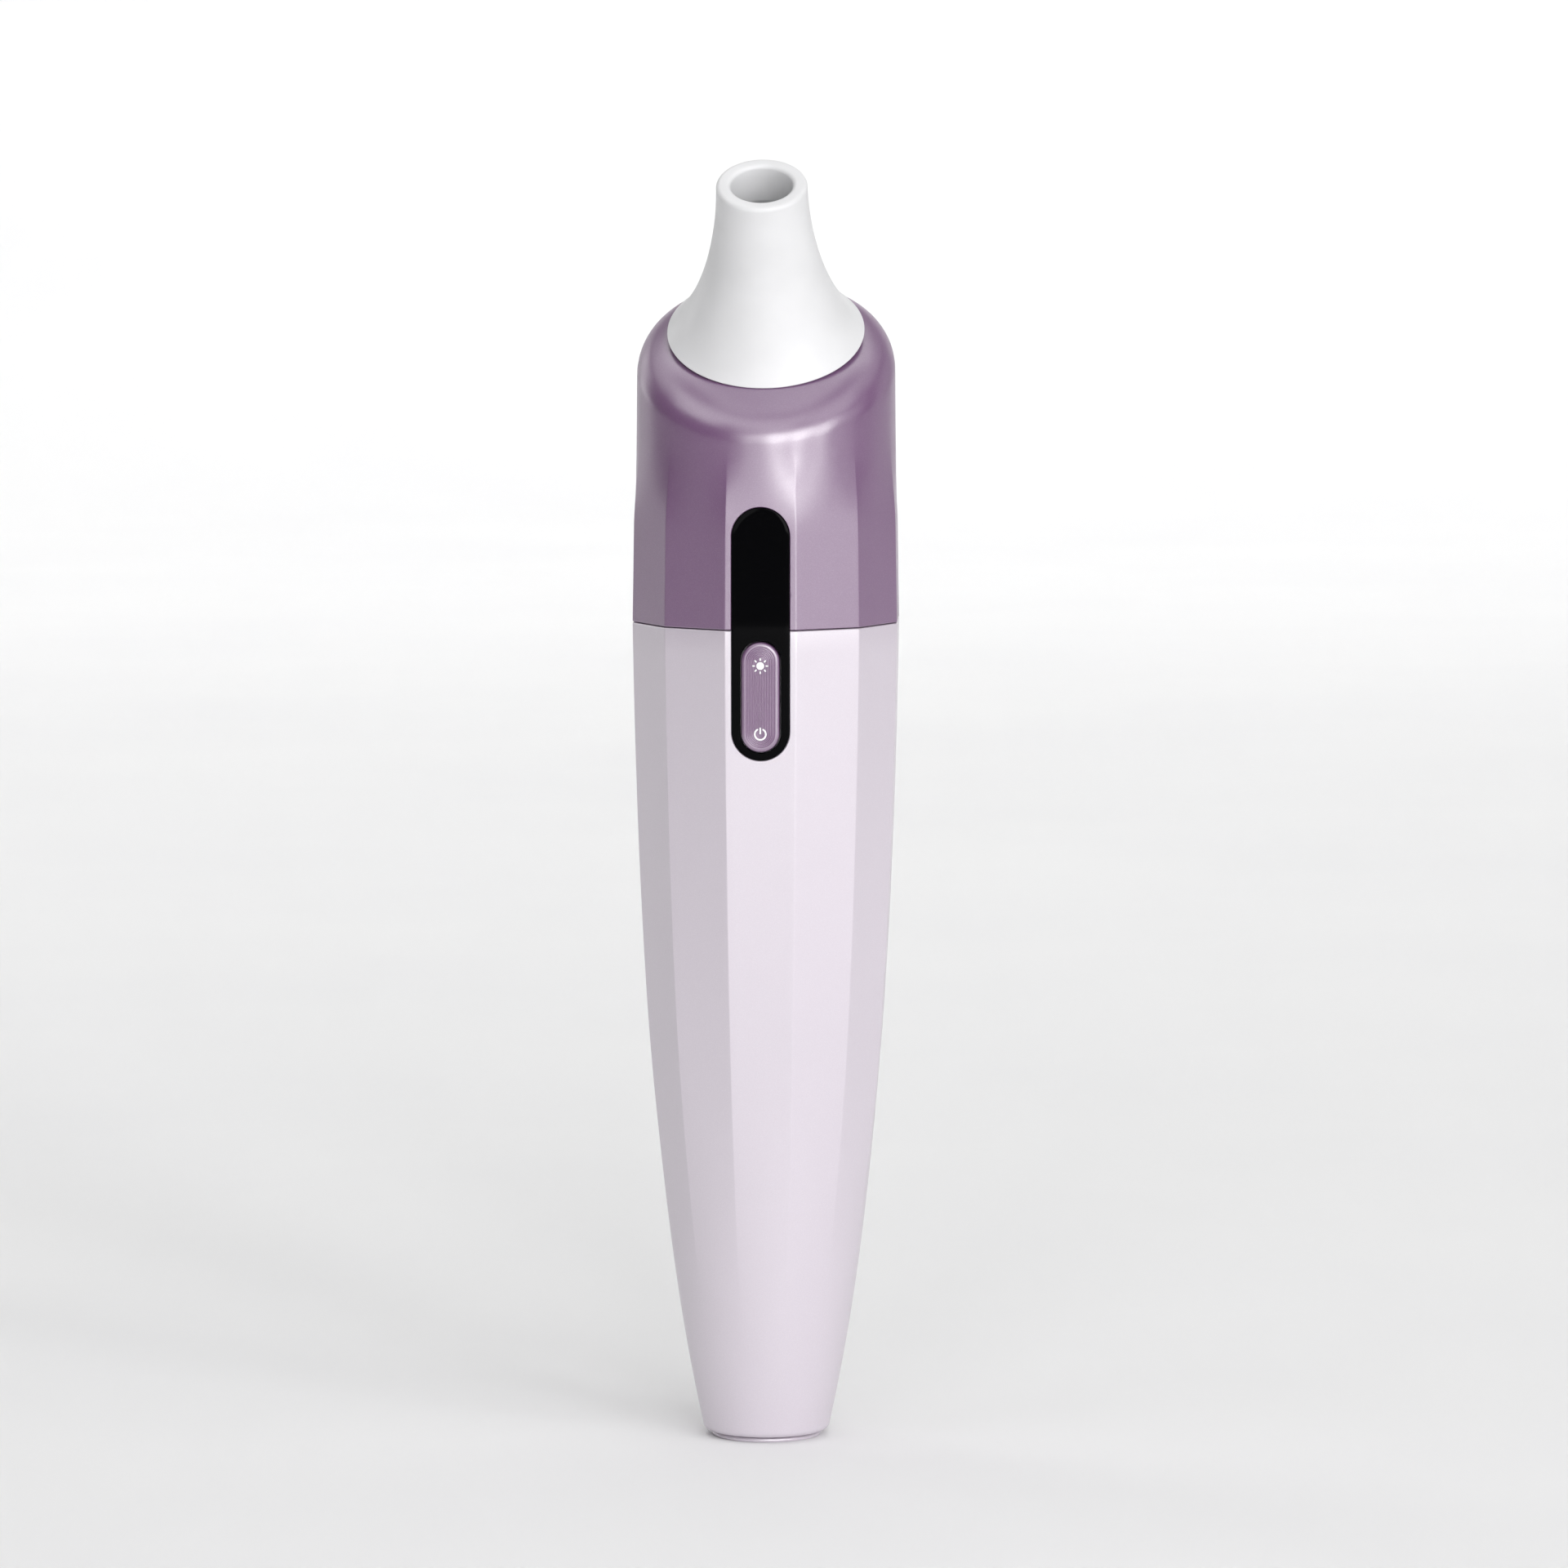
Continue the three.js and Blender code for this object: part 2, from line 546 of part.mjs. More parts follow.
const cups = cupPlaces.map(([x, y]) => rodAt(x, y, 1.7, 114.7, 116));
const cupHollows = cupPlaces.map(([x, y]) => rodAt(x, y, 1.2, 115.2, 117));
const cupSheet = join(pumpDisc(115.6, 116.5), ...cups);
piece('diaphragm_cups', cut(cupSheet, ...cupHollows, ...pumpScrewHoles), SILICONE, drive);

const valvePorts = cupPlaces.map(([x, y]) => rodAt(x, y, 0.6, 116, 119));
piece('valve_plate', cut(pumpDisc(116.8, 118.4), ...valvePorts, ...pumpScrewHoles), GREY_PLASTIC, drive);

const nipple = (y, top) => rodAt(0, y, 1.5, 121, top);
const nippleBore = (y) => rodAt(0, y, 0.8, 118, 130);
const nipples = [nipple(NIPPLE_OFFSET, 128.5), nipple(-NIPPLE_OFFSET, 126)];
const coverBlank = join(pumpDisc(118.7, 122.2), ...nipples);
const coverHoles = [nippleBore(NIPPLE_OFFSET), nippleBore(-NIPPLE_OFFSET), ...pumpScrewHoles];
piece('pump_cover', cut(coverBlank, ...coverHoles), BLACK_PLASTIC, drive);

pumpScrewPlaces.forEach(([x, y], i) => {
  const screw = join(rodAt(x, y, 0.7, 110, 122.6), rodAt(x, y, 1.4, 122.4, 123.3));
  piece(`pump_screw_${i + 1}`, screw, STEEL, drive);
});

const muffler = cut(rod(2.6, 123, 128.6), rod(1.8, 122, 127)).translate(0, -NIPPLE_OFFSET, 0);
piece('exhaust_muffler', muffler, FOAM, drive);

const hosePath = [
  point(0, DRIVE_Y + NIPPLE_OFFSET, 123.5),
  point(0, DRIVE_Y + NIPPLE_OFFSET, 128.5),
  point(0, DRIVE_Y + NIPPLE_OFFSET - 0.1, 133.5),
  point(0, 5.6, 138.7),
  seatPoint(0, 0, -9.5),
  seatPoint(0, 0, -7),
  seatPoint(0, 0, -4.6),
];
piece('suction_hose', tube(hosePath, 2.75, 1.9, 8, 10), SILICONE);

// ---- Nozzle seat and light ring, on the slanted face ----

const SPIGOT_RADIUS = 8.6;
const seatOutline = [
  [0.85, -8.8], [1.55, -8.8], [1.55, -3.9], [11, -3.9], [11, -2.3],
  [SPIGOT_RADIUS, -2.3], [SPIGOT_RADIUS, 1.9], [8, 1.9], [8, 3.1], [SPIGOT_RADIUS, 3.1],
  [SPIGOT_RADIUS, 4.4], [7.5, 4.4], [7.5, -2.5], [4, -2.5], [4, 4.4], [3.3, 4.4], [3.3, 0.5],
  [0.85, 0.5],
];
const flangeHoles = seatScrewPlaces.map(([x, y]) => rodAt(x, y, 0.75, -5, -1));
const LIGHT_LEAD = [3, -4.9]; // where the light ring's lead passes through the seat's floor
const seatHoles = [...flangeHoles, rodAt(...LIGHT_LEAD, 1, -5, -1)];
piece('nozzle_seat', cut(revolve(seatOutline), ...seatHoles), WHITE, seat);

const gasketOutline = [[8.1, 2.05], [8.5, 2.05], [8.65, 2.5], [8.5, 2.95], [8.1, 2.95]];
piece('seat_gasket', revolve(gasketOutline), SILICONE, seat);
piece('filter_sponge', rod(3.1, 0.8, 4.2), FOAM, seat);
const lightBoardOutline = [[4.3, -2.2], [7.2, -2.2], [7.2, -1.4], [4.3, -1.4]];
piece('led_ring_board', revolve(lightBoardOutline), BOARD_GREEN, seat);
piece('led_diffuser', revolve([[4.2, 2.9], [7.3, 2.9], [7.3, 4.2], [4.2, 4.2]]), WHITE, seat);
thirds.forEach((turn, i) => {
  const [x, y] = around(5.75, turn);
  const chip = block([x - 1, x + 1], [y - 0.7, y + 0.7], [-1.1, -0.3]);
  piece(`led_${i + 1}`, chip, { ...WHITE, color: 0xf3e9a8 }, seat);
});
seatScrewPlaces.forEach(([x, y], i) => {
  const screw = join(rodAt(x, y, 0.5, -4.4, -0.9), rodAt(x, y, 1.1, -5.1, -4.2));
  piece(`seat_screw_${i + 1}`, screw, STEEL, seat);
});

// ---- Suction nozzle ----

const NOZZLE_FOOT = 0.3;
const TIP_HEIGHT = 24.1;
const BORE_RADIUS = 4.1;

function suctionNozzle() {
  const flare = new THREE.CubicBezierCurve(
    flat(13.35, NOZZLE_FOOT + 0.15),
    flat(8.74, 4.6),
    flat(6.23, 14.8),
    flat(6.14, TIP_HEIGHT - 0.6),
  );
  const trumpet = spread(0, 1, 8).map((t) => flare.getPoint(t).toArray());
  const lip = [
    [5.95, TIP_HEIGHT - 0.15], [5.55, TIP_HEIGHT], [4.6, TIP_HEIGHT], [4.22, TIP_HEIGHT - 0.25],
  ];
  const bore = [[BORE_RADIUS, TIP_HEIGHT - 0.9], [BORE_RADIUS, 18.6]];
  const chamber = [[4.9, 16.8], [5.8, 12], [6.9, 8.2], [7.9, 5.1]];
  const socket = [[8.8, 4.7], [8.8, NOZZLE_FOOT]];
  return revolve([[13.25, NOZZLE_FOOT], ...trumpet, ...lip, ...bore, ...chamber, ...socket], 32);
}
piece('suction_nozzle', suctionNozzle(), WHITE, seat);

// ---- Base and charging port ----

const PORT_WIDTH = 8.94;
const PORT_DEPTH = 3.26;

// A pill lying across the base, from one height to another.
const basePill = (width, depth, from, to) => {
  const geometry = new THREE.ExtrudeGeometry(pill(depth, width), {
    depth: to - from,
    curveSegments: 6,
    bevelEnabled: false,
  });
  return geometry.rotateZ(Math.PI / 2).translate(0, 0, from);
};
const capOutline = [
  [0, 0], [7.2, 0], [7.45, 0.2], [7.45, 0.4], [7.35, 0.5], [6.6, 0.5], [6.6, 2], [6, 2],
  [6, 3], [6.6, 3], [6.6, 5.5], [0, 5.5],
];
const portSlot = basePill(PORT_WIDTH + 0.36, PORT_DEPTH + 0.34, -1, 7);
piece('base_cap', cut(revolve(capOutline, 32), portSlot), LILAC);
piece('base_seal', revolve([[6.2, 2.05], [6.7, 2.05], [6.7, 2.95], [6.2, 2.95]]), SILICONE);
const portHollow = basePill(PORT_WIDTH - 0.7, PORT_DEPTH - 0.7, 0, 7);
piece('charge_port_shell', cut(basePill(PORT_WIDTH, PORT_DEPTH, 0.5, 7.6), portHollow), STEEL);
piece('charge_tongue', block([-3.3, 3.3], [-0.35, 0.35], [1.6, 6.8]), BLACK_PLASTIC);
piece('charge_board', block([-5.5, 5.5], [1.9, 2.7], [6.3, 23]), BOARD_GREEN);

// ---- Leads ----

const LEAD_RADIUS = 0.5;
const lead = (path) => tube(path, LEAD_RADIUS, 0, 5, 12);
const LEAD_FRONT = -12.6; // leads end in front of the main board

piece('battery_lead_red', lead([
  point(-1.2, -8.1, 78.85),
  point(-2, -10.3, 79.4),
  point(-3.4, -12.2, 82),
  point(-3.8, LEAD_FRONT, 86),
  point(-3.8, LEAD_FRONT, 91),
]), RED_WIRE);
piece('battery_lead_black', lead([
  point(1.2, -8.1, 27.95),
  point(2, -9, 31),
  point(2.6, -9.2, 40),
  point(3, -9.2, 60),
  point(3.4, -9.6, 71),
  point(3.8, -12, 81),
  point(3.8, LEAD_FRONT, 86),
  point(3.8, LEAD_FRONT, 91),
]), BLACK_WIRE);
piece('charge_lead', lead([
  point(-3, 1, 20.5),
  point(-4.4, -2, 22.4),
  point(-6, -6, 25.5),
  point(-6.4, -6.8, 30),
  point(-6.6, -7, 60),
  point(-6.6, -8.5, 73),
  point(-6, -12, 81),
  point(-5.8, LEAD_FRONT, 86),
  point(-5.8, LEAD_FRONT, 91),
]), RED_WIRE);
piece('led_lead', lead([
  point(5.5, -12.5, 124),
  point(5.5, -12.3, 130),
  point(4.6, -9.2, 137),
  seatPoint(...LIGHT_LEAD, -6),
  seatPoint(...LIGHT_LEAD, -2.8),
]), BLACK_WIRE);

export default wand;
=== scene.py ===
"""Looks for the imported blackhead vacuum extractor: fine surfaces and materials around the CAD frame.

Shapes are worked out in millimetres and turned into metres when a mesh is made. +Z runs up the wand,
the front faces -Y, and the origin is the centre of the base's underside.
"""

import json
import math

import bpy
import numpy as np
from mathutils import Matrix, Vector


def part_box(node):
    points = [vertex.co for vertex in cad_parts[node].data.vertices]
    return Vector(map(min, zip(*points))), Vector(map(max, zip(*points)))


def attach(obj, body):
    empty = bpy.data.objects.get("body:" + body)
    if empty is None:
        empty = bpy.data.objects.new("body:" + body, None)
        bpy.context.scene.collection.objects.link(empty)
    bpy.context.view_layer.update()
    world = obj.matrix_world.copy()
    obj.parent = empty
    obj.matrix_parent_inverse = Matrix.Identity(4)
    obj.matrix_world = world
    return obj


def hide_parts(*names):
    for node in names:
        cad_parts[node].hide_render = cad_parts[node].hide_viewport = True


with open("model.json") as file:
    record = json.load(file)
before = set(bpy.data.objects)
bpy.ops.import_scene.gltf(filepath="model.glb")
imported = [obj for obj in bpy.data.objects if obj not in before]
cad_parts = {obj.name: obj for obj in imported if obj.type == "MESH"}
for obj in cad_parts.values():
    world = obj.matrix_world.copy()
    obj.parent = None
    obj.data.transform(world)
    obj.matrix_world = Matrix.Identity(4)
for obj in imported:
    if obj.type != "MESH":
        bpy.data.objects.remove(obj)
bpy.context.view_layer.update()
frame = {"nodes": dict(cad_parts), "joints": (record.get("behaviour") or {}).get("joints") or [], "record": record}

MM = 0.001
FACETS = 12
FACET_HALF = math.pi / FACETS


def low(node):
    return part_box(node)[0] / MM


def high(node):
    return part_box(node)[1] / MM


# ---- Places taken from the frame, in millimetres ----

FOOT_Z = low("body_shell").z
SPLIT_Z = high("body_shell").z
HEAD_FOOT_Z = low("head_shell").z
BODY_TOP_RADIUS = high("body_shell").y
JOINTS = {joint["name"]: joint for joint in frame["joints"]}
PIVOT = Vector(JOINTS["button_rock"]["pos_m"]) / MM
SEAT_UP = Vector(JOINTS["nozzle_pull"]["axis"]).normalized()
SEAT_RIGHT = Vector((1, 0, 0))
SEAT_BACK = SEAT_UP.cross(SEAT_RIGHT)
WINDOW_LOW, WINDOW_HIGH = low("window_lens"), high("window_lens")
WINDOW_Z = (WINDOW_LOW.z + WINDOW_HIGH.z) / 2
WINDOW_WIDTH = WINDOW_HIGH.x - WINDOW_LOW.x
WINDOW_HEIGHT = WINDOW_HIGH.z - WINDOW_LOW.z
WINDOW_BACK = -WINDOW_HIGH.y
BUTTON_FRONT = -low("rocker_button").y

# ---- Sizes the frame does not hold ----

HEAD_TOP_RADIUS = 17.5
HEAD_TAPER_HEIGHT = 34
HEAD_TAPER_POWER = 1.3
HEAD_SHARP_TO_ROUND = (125, 137)
FOOT_ROUND_TO_SHARP = (13, 60)
# Height of the head's wall at its side, and what the angle's cosine and its square add to it.
WALL_TOP_SIDE, WALL_TOP_TILT, WALL_TOP_BEND = 145.75, -7.6, -1.15
WALL = 1.85
SEAT_CENTRE = Vector((0, -1, 151.3))
SEAT_RADIUS = 12.5
SEAT_HOLE = 8.9
SHOULDER_RADIUS = 12.6
SHOULDER_STEP = 0.1
SHOULDER_DROP = 1.86
LINING_RADIUS = 11.2
EDGE_FILLET = 0.4
BUTTON_WIDTH, BUTTON_HEIGHT = 5.09, 14.74
BUTTON_GAP = 0.2
POCKET_GAP = 0.06
POCKET_BACK = 16.6
OPENING_BACK = 13.6
DISPLAY_OPENING = (5.2, 12.4, 120.5)
CAVITY_FOOT_Z = 6.0
BASE_BORE = 6.8


# ---- Mesh helpers ----


def new_object(name, points, faces):
    mesh = bpy.data.meshes.new(name)
    mesh.from_pydata([tuple(p) for p in np.asarray(points, float) * MM], [], faces)
    mesh.validate()
    made = bpy.data.objects.new(name, mesh)
    bpy.context.scene.collection.objects.link(made)
    return made


def outward(made):
    """Turns the faces of a closed mesh outwards, by the sign of its volume."""
    mesh = made.data
    mesh.calc_loop_triangles()
    points = np.array([v.co for v in mesh.vertices])
    corners = np.array([t.vertices for t in mesh.loop_triangles])
    a, b, c = (points[corners[:, i]] for i in range(3))
    if np.einsum("ij,ij->i", a, np.cross(b, c)).sum() < 0:
        mesh.flip_normals()
    return made


def smooth(made, sharp_degrees=32):
    made.data.shade_smooth()
    made.data.set_sharp_from_angle(angle=math.radians(sharp_degrees))
    return made


def ring_skin(name, rings, closed=False):
    """A skin over a stack of equal rings.

    A closed stack joins its last ring to its first. An open one has flat ends.
    """
    rings = np.asarray(rings, float)
    count, around = rings.shape[:2]
    faces = []
    for j in range(count if closed else count - 1):
        k = (j + 1) % count
        for i in range(around):
            n = (i + 1) % around
            faces.append((j * around + i, j * around + n, k * around + n, k * around + i))
    if not closed:
        faces.append(tuple(reversed(range(around))))
        faces.append(tuple(range((count - 1) * around, count * around)))
    return outward(new_object(name, rings.reshape(-1, 3), faces))


def round_ring(radius, z, angles):
    across, towards = radius * np.sin(angles), -radius * np.cos(angles)
    return np.stack([across, towards, np.full(len(angles), z)], axis=1)


def lathe(name, outline, steps=96, place=None, sharp_degrees=32):
    """A turned piece from (radius, height) points: a closed loop, or a line from axis to axis."""
    outline = np.asarray(outline, float)
    on_axis = outline[0, 0] == 0 and outline[-1, 0] == 0
    if on_axis:
        outline = outline[1:-1]
    angles = np.linspace(0, 2 * math.pi, steps, endpoint=False)
    rings = np.array([round_ring(r, z, angles) for r, z in outline])
    if place is not None:
        rings = np.array([[place(p) for p in ring] for ring in rings])
    return smooth(ring_skin(name, rings, closed=not on_axis), sharp_degrees)


def polar(centre, radius, degrees):
    angle = math.radians(degrees)
    return (centre[0] + radius * math.cos(angle), centre[1] + radius * math.sin(angle))


def arc(centre, radius, start, end, steps):
    """Points of an arc in a section, by its centre and its start and end angles in degrees."""
    return [polar(centre, radius, a) for a in np.linspace(start, end, steps + 1)]


def bezier(points, t):
    p = [np.asarray(q, float) for q in points]
    t = np.asarray(t, float)[..., None]
    return (1 - t) ** 3 * p[0] + 3 * t * (1 - t) ** 2 * p[1] + 3 * t * t * (1 - t) * p[2] + t**3 * p[3]


def carve(made, tool, operation="DIFFERENCE"):
    """Applies a boolean to a mesh object and removes the tool."""
    modifier = made.modifiers.new("carve", "BOOLEAN")
    modifier.object = tool
    modifier.operation = operation
    modifier.solver = "EXACT"
    bpy.context.view_layer.update()
    result = bpy.data.meshes.new_from_object(made.evaluated_get(bpy.context.evaluated_depsgraph_get()))
    made.modifiers.clear()
    made.data = result
    bpy.data.objects.remove(tool)
    return smooth(made)


def on_seat(point):
    """A point of the slanted seat's own frame, in the row frame."""
    x, back, out = point
    return SEAT_CENTRE + SEAT_RIGHT * x + SEAT_BACK * back + SEAT_UP * out


def dress(made, body, slot, material, *nodes):
    """Gives a finished piece its material and body, and hides the CAD nodes that it stands for. The slot argument
    is not used.
    """
    made.data.materials.clear()
    made.data.materials.append(material)
    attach(made, body)
    if nodes:
        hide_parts(*nodes)
    return made


# ---- Pill shapes: a ring of equal steps whose left and right halves mirror each other ----

PILL_ARC = 20
PILL_SIDE = 24


def pill_ring(half_width, half_straight):
    """Points (x, z) from the lowest point up the right side, then down the left."""
    low_arc = arc((0, -half_straight), half_width, -90, 0, PILL_ARC)
    high_arc = arc((0, half_straight), half_width, 0, 90, PILL_ARC)
    side = [(half_width, z) for z in np.linspace(-half_straight, half_straight, PILL_SIDE + 1)[1:-1]]
    right = low_arc + side + high_arc
    left = [(-x, z) for x, z in reversed(right[1:-1])]
    return np.array(right + left)


def pill_loft(name, rings, half_straight, z, front_of):
    """A closed solid over pill rings of (half width, distance).

    front_of(distance, heights) gives how far each point lies in front of the axis.
    """
    rows = []
    for half_width, distance in rings:
        ring = pill_ring(half_width, half_straight)
        heights = ring[:, 1] + z
        rows.append(np.stack([ring[:, 0], -front_of(distance, heights), heights], axis=1))
    rows = np.array(rows)
    count, around = rows.shape[:2]
    faces = []
    for j in range(count - 1):
        for i in range(around):
            n = (i + 1) % around
            faces.append((j * around + i, j * around + n, (j + 1) * around + n, (j + 1) * around + i))
    top = around // 2
    for base, flip in ((0, True), ((count - 1) * around, False)):
        ladder = [(0, 1, around - 1), (top - 1, top, top + 1)]
        ladder += [(i, i + 1, around - i - 1, around - i) for i in range(1, top - 1)]
        faces += [tuple(base + i for i in (reversed(f) if flip else f)) for f in ladder]
    return outward(new_object(name, rows.reshape(-1, 3), faces))


# ---- The outer form ----

# Control points (radius, height) of the handle's side, from the split down to the foot.
BODY_LINE = [(BODY_TOP_RADIUS, SPLIT_Z), (16.92, 43.3), (11.7, 15.6), (8.66, FOOT_Z + 1)]
BODY_SAMPLES = bezier(BODY_LINE, np.linspace(0, 1, 400))


def body_radius(z):
    """Radius to the middle of a flat on the handle."""
    return np.interp(z, BODY_SAMPLES[::-1, 1], BODY_SAMPLES[::-1, 0])


def head_radius(z):
    """The same on the head, which narrows a little towards its top."""
    rest = np.clip(1 - (np.asarray(z, float) - SPLIT_Z) / HEAD_TAPER_HEIGHT, 0, 1)
    return HEAD_TOP_RADIUS + (BODY_TOP_RADIUS - HEAD_TOP_RADIUS) * rest**HEAD_TAPER_POWER


def fade(value, start, end):
    """A smooth step from 0 at the start to 1 at the end."""
    t = np.clip((np.asarray(value, float) - start) / (end - start), 0, 1)
    return t * t * (3 - 2 * t)


def body_sharpness(z):
    """How far the section is facetted rather than round."""
    return fade(z, *FOOT_ROUND_TO_SHARP)


def head_sharpness(z):
    return 1 - fade(z, *HEAD_SHARP_TO_ROUND)


def surface_front(z):
    """How far the front flat lies in front of the axis, on the handle and on the head."""
    return np.where(np.asarray(z) < SPLIT_Z, body_radius(z), head_radius(z))


FLAT_STEPS = (0, 0.3, 0.6, 0.85, 0.96, 1)
FILLET_STEPS = (1 / 3, 2 / 3, 1)


def half_facet(radius):
    """Angle and distance of the points from a flat's middle to its rounded corner."""
    tangent = (radius - EDGE_FILLET) * math.tan(FACET_HALF)
    flat = [(u * tangent, radius) for u in FLAT_STEPS]
    round_part = [
        (
            tangent + EDGE_FILLET * math.sin(s * FACET_HALF),
            radius - EDGE_FILLET + EDGE_FILLET * math.cos(s * FACET_HALF),
        )
        for s in FILLET_STEPS
    ]
    points = flat + round_part
    return [(math.atan2(x, f), math.hypot(x, f)) for x, f in points]


def section(radius, sharpness):
    """Angles and distances round the whole section, from the middle of the front flat."""
    half = half_facet(radius)
    flat = half + [(2 * FACET_HALF - a, r) for a, r in reversed(half[1:-1])]
    angles, distances = [], []
    for k in range(FACETS):
        for angle, distance in flat:
            angles.append(angle + 2 * FACET_HALF * k)
            distances.append((1 - sharpness) * radius + sharpness * distance)
    return np.array(angles), np.array(distances)


def section_ring(radius, z, sharpness=1.0, inset=0.0):
    angles, distances = section(radius, sharpness)
    return round_ring(distances - inset, z, angles)


RING_ANGLES = section(BODY_TOP_RADIUS, 1)[0]


# ---- Cutters for the window's pocket and the openings behind it ----


def on_surface(distance, heights):
    return surface_front(heights) + distance


def at_distance(distance, heights):
    return np.full(len(heights), float(distance))


def pill_cutter(name, width, height, z, back, chamfer):
    """A pill prism from a fixed back plane out through the surface, with a chamfered mouth."""
    half_straight = (height - width) / 2
    half = width / 2

    def front(distance, heights):
        return at_distance(back, heights) if distance is None else on_surface(distance, heights)

    rings = [(half, None), (half, -chamfer), (half + chamfer, 0), (half + chamfer + 1, 1)]
    return pill_loft(name, rings, half_straight, z, front)


def pocket_cutter():
    width = WINDOW_WIDTH + 2 * POCKET_GAP
    height = WINDOW_HEIGHT + 2 * POCKET_GAP
    return pill_cutter("pocket_cutter", width, height, WINDOW_Z, POCKET_BACK, 0.08)


def button_cutter():
    width = BUTTON_WIDTH + 2 * BUTTON_GAP
    height = BUTTON_HEIGHT + 2 * BUTTON_GAP
    return pill_cutter("button_cutter", width, height, PIVOT.z, OPENING_BACK, 0.1)


# ---- Materials ----


class Shader:
    """A node material with one Principled shader and short ways to add noise, colour and bump to it."""

    def __init__(self, name, color, **values):
        self.material = bpy.data.materials.new(name)
        self.material.use_nodes = True
        self.tree = self.material.node_tree
        self.principled = self.tree.nodes["Principled BSDF"]
        self.color = (*color, 1)
        self.set("Base Color", self.color)
        for key, value in values.items():
            self.set(key.replace("_", " "), value)
        self.coordinates = self.tree.nodes.new("ShaderNodeTexCoord")
        self.bumps = None

    def set(self, socket, value):
        self.principled.inputs[socket].default_value = value

    def link(self, source, target):
        self.tree.links.new(source, target)

    def noise(self, scale, detail=3, roughness=0.5, stretch=(1, 1, 1)):
        """Noise whose size is given as features per metre."""
        mapping = self.tree.nodes.new("ShaderNodeMapping")
        mapping.inputs["Scale"].default_value = stretch
        self.link(self.coordinates.outputs["Object"], mapping.inputs["Vector"])
        node = self.tree.nodes.new("ShaderNodeTexNoise")
        node.inputs["Scale"].default_value = scale
        node.inputs["Detail"].default_value = detail
        node.inputs["Roughness"].default_value = roughness
        self.link(mapping.outputs["Vector"], node.inputs["Vector"])
        return node.outputs["Fac"]

    def flakes(self, scale):
        node = self.tree.nodes.new("ShaderNodeTexVoronoi")
        node.inputs["Scale"].default_value = scale
        self.link(self.coordinates.outputs["Object"], node.inputs["Vector"])
        split = self.tree.nodes.new("ShaderNodeSeparateColor")
        self.link(node.outputs["Color"], split.inputs["Color"])
        return split.outputs["Red"]

    def ramp(self, source, low_value, high_value, low_at=0.3, high_at=0.7):
        node = self.tree.nodes.new("ShaderNodeMapRange")
        node.inputs["From Min"].default_value = low_at
        node.inputs["From Max"].default_value = high_at
        node.inputs["To Min"].default_value = low_value
        node.inputs["To Max"].default_value = high_value
        self.link(source, node.inputs["Value"])
        return node.outputs["Result"]

    def vary(self, socket, source, low_value, high_value, low_at=0.3, high_at=0.7):
        varied = self.ramp(source, low_value, high_value, low_at, high_at)
        self.link(varied, self.principled.inputs[socket])
        return self

    def tint(self, source, other, low_at=0.3, high_at=0.7):
        """Mixes the base colour towards another by a source."""
        node = self.tree.nodes.new("ShaderNodeMix")
        node.data_type = "RGBA"
        current = self.principled.inputs["Base Color"]
        if current.is_linked:
            self.link(current.links[0].from_socket, node.inputs["A"])
        else:
            node.inputs["A"].default_value = self.color
        node.inputs["B"].default_value = (*other, 1)
        self.link(self.ramp(source, 0, 1, low_at, high_at), node.inputs["Factor"])
        self.link(node.outputs["Result"], current)
        return self

    def bump(self, source, depth, strength=1.0):
        """Adds relief, its depth in metres."""
        node = self.tree.nodes.new("ShaderNodeBump")
        node.inputs["Distance"].default_value = depth
        node.inputs["Strength"].default_value = strength
        self.link(source, node.inputs["Height"])
        if self.bumps is not None:
            self.link(self.bumps, node.inputs["Normal"])
        self.bumps = node.outputs["Normal"]
        self.link(self.bumps, self.principled.inputs["Normal"])
        return self


def pearl_lacquer(name, color, flake_painted_glint, gloss, roughness):
    """Satin lacquer with fine pearl flakes, whose glints are painted as lighter specks in the base colour, and the
    slight orange peel of a sprayed coat.
    """
    made = Shader(name, color, IOR=gloss)
    made.tint(made.noise(60, detail=2), [c * 0.98 for c in color])
    # Painted glints: random flake cells are mixed towards a lighter colour, standing in for the sparkle of the
    # pearl flakes.
    made.tint(made.flakes(16000), flake_painted_glint, 0.5, 3.5)
    made.vary("Roughness", made.noise(700, detail=4), roughness - 0.02, roughness + 0.02)
    made.bump(made.noise(1500, detail=2), 0.0000006)
    return made.material


def moulded_plastic(name, color, roughness=0.45, grain=0.000006, scale=2500, **values):
    made = Shader(name, color, **values)
    made.tint(made.noise(120, detail=2), [c * 0.94 for c in color])
    made.vary("Roughness", made.noise(600, detail=3), roughness - 0.05, roughness + 0.05)
    made.bump(made.noise(scale, detail=2), grain)
    return made.material


def bright_metal(name, color, roughness=0.25, stretch=(1, 1, 14)):
    made = Shader(name, color, Metallic=1.0)
    brushed = made.noise(1400, detail=4, stretch=stretch)
    made.tint(made.noise(200, detail=3), [c * 0.85 for c in color])
    made.vary("Roughness", brushed, roughness - 0.06, roughness + 0.1)
    made.bump(brushed, 0.000004)
    return made.material


def window_acrylic():
    made = Shader("window_acrylic", (0.002, 0.002, 0.0024), IOR=1.12)
    made.vary("Roughness", made.noise(90, detail=4), 0.03, 0.06)
    made.bump(made.noise(40, detail=1), 0.000002)
    return made.material


def printed_ink():
    made = Shader("icon_ink", (0.93, 0.93, 0.93))
    made.tint(made.noise(3000), (0.88, 0.88, 0.89))
    made.vary("Roughness", made.noise(2000), 0.4, 0.55)
    return made.material


def foam_material():
    made = Shader("open_foam", (0.07, 0.07, 0.075))
    cells = made.flakes(2600)
    made.tint(cells, (0.02, 0.02, 0.02), 0.3, 1)
    made.vary("Roughness", cells, 0.85, 1)
    made.bump(made.noise(2400, detail=3), 0.0001)
    return made.material


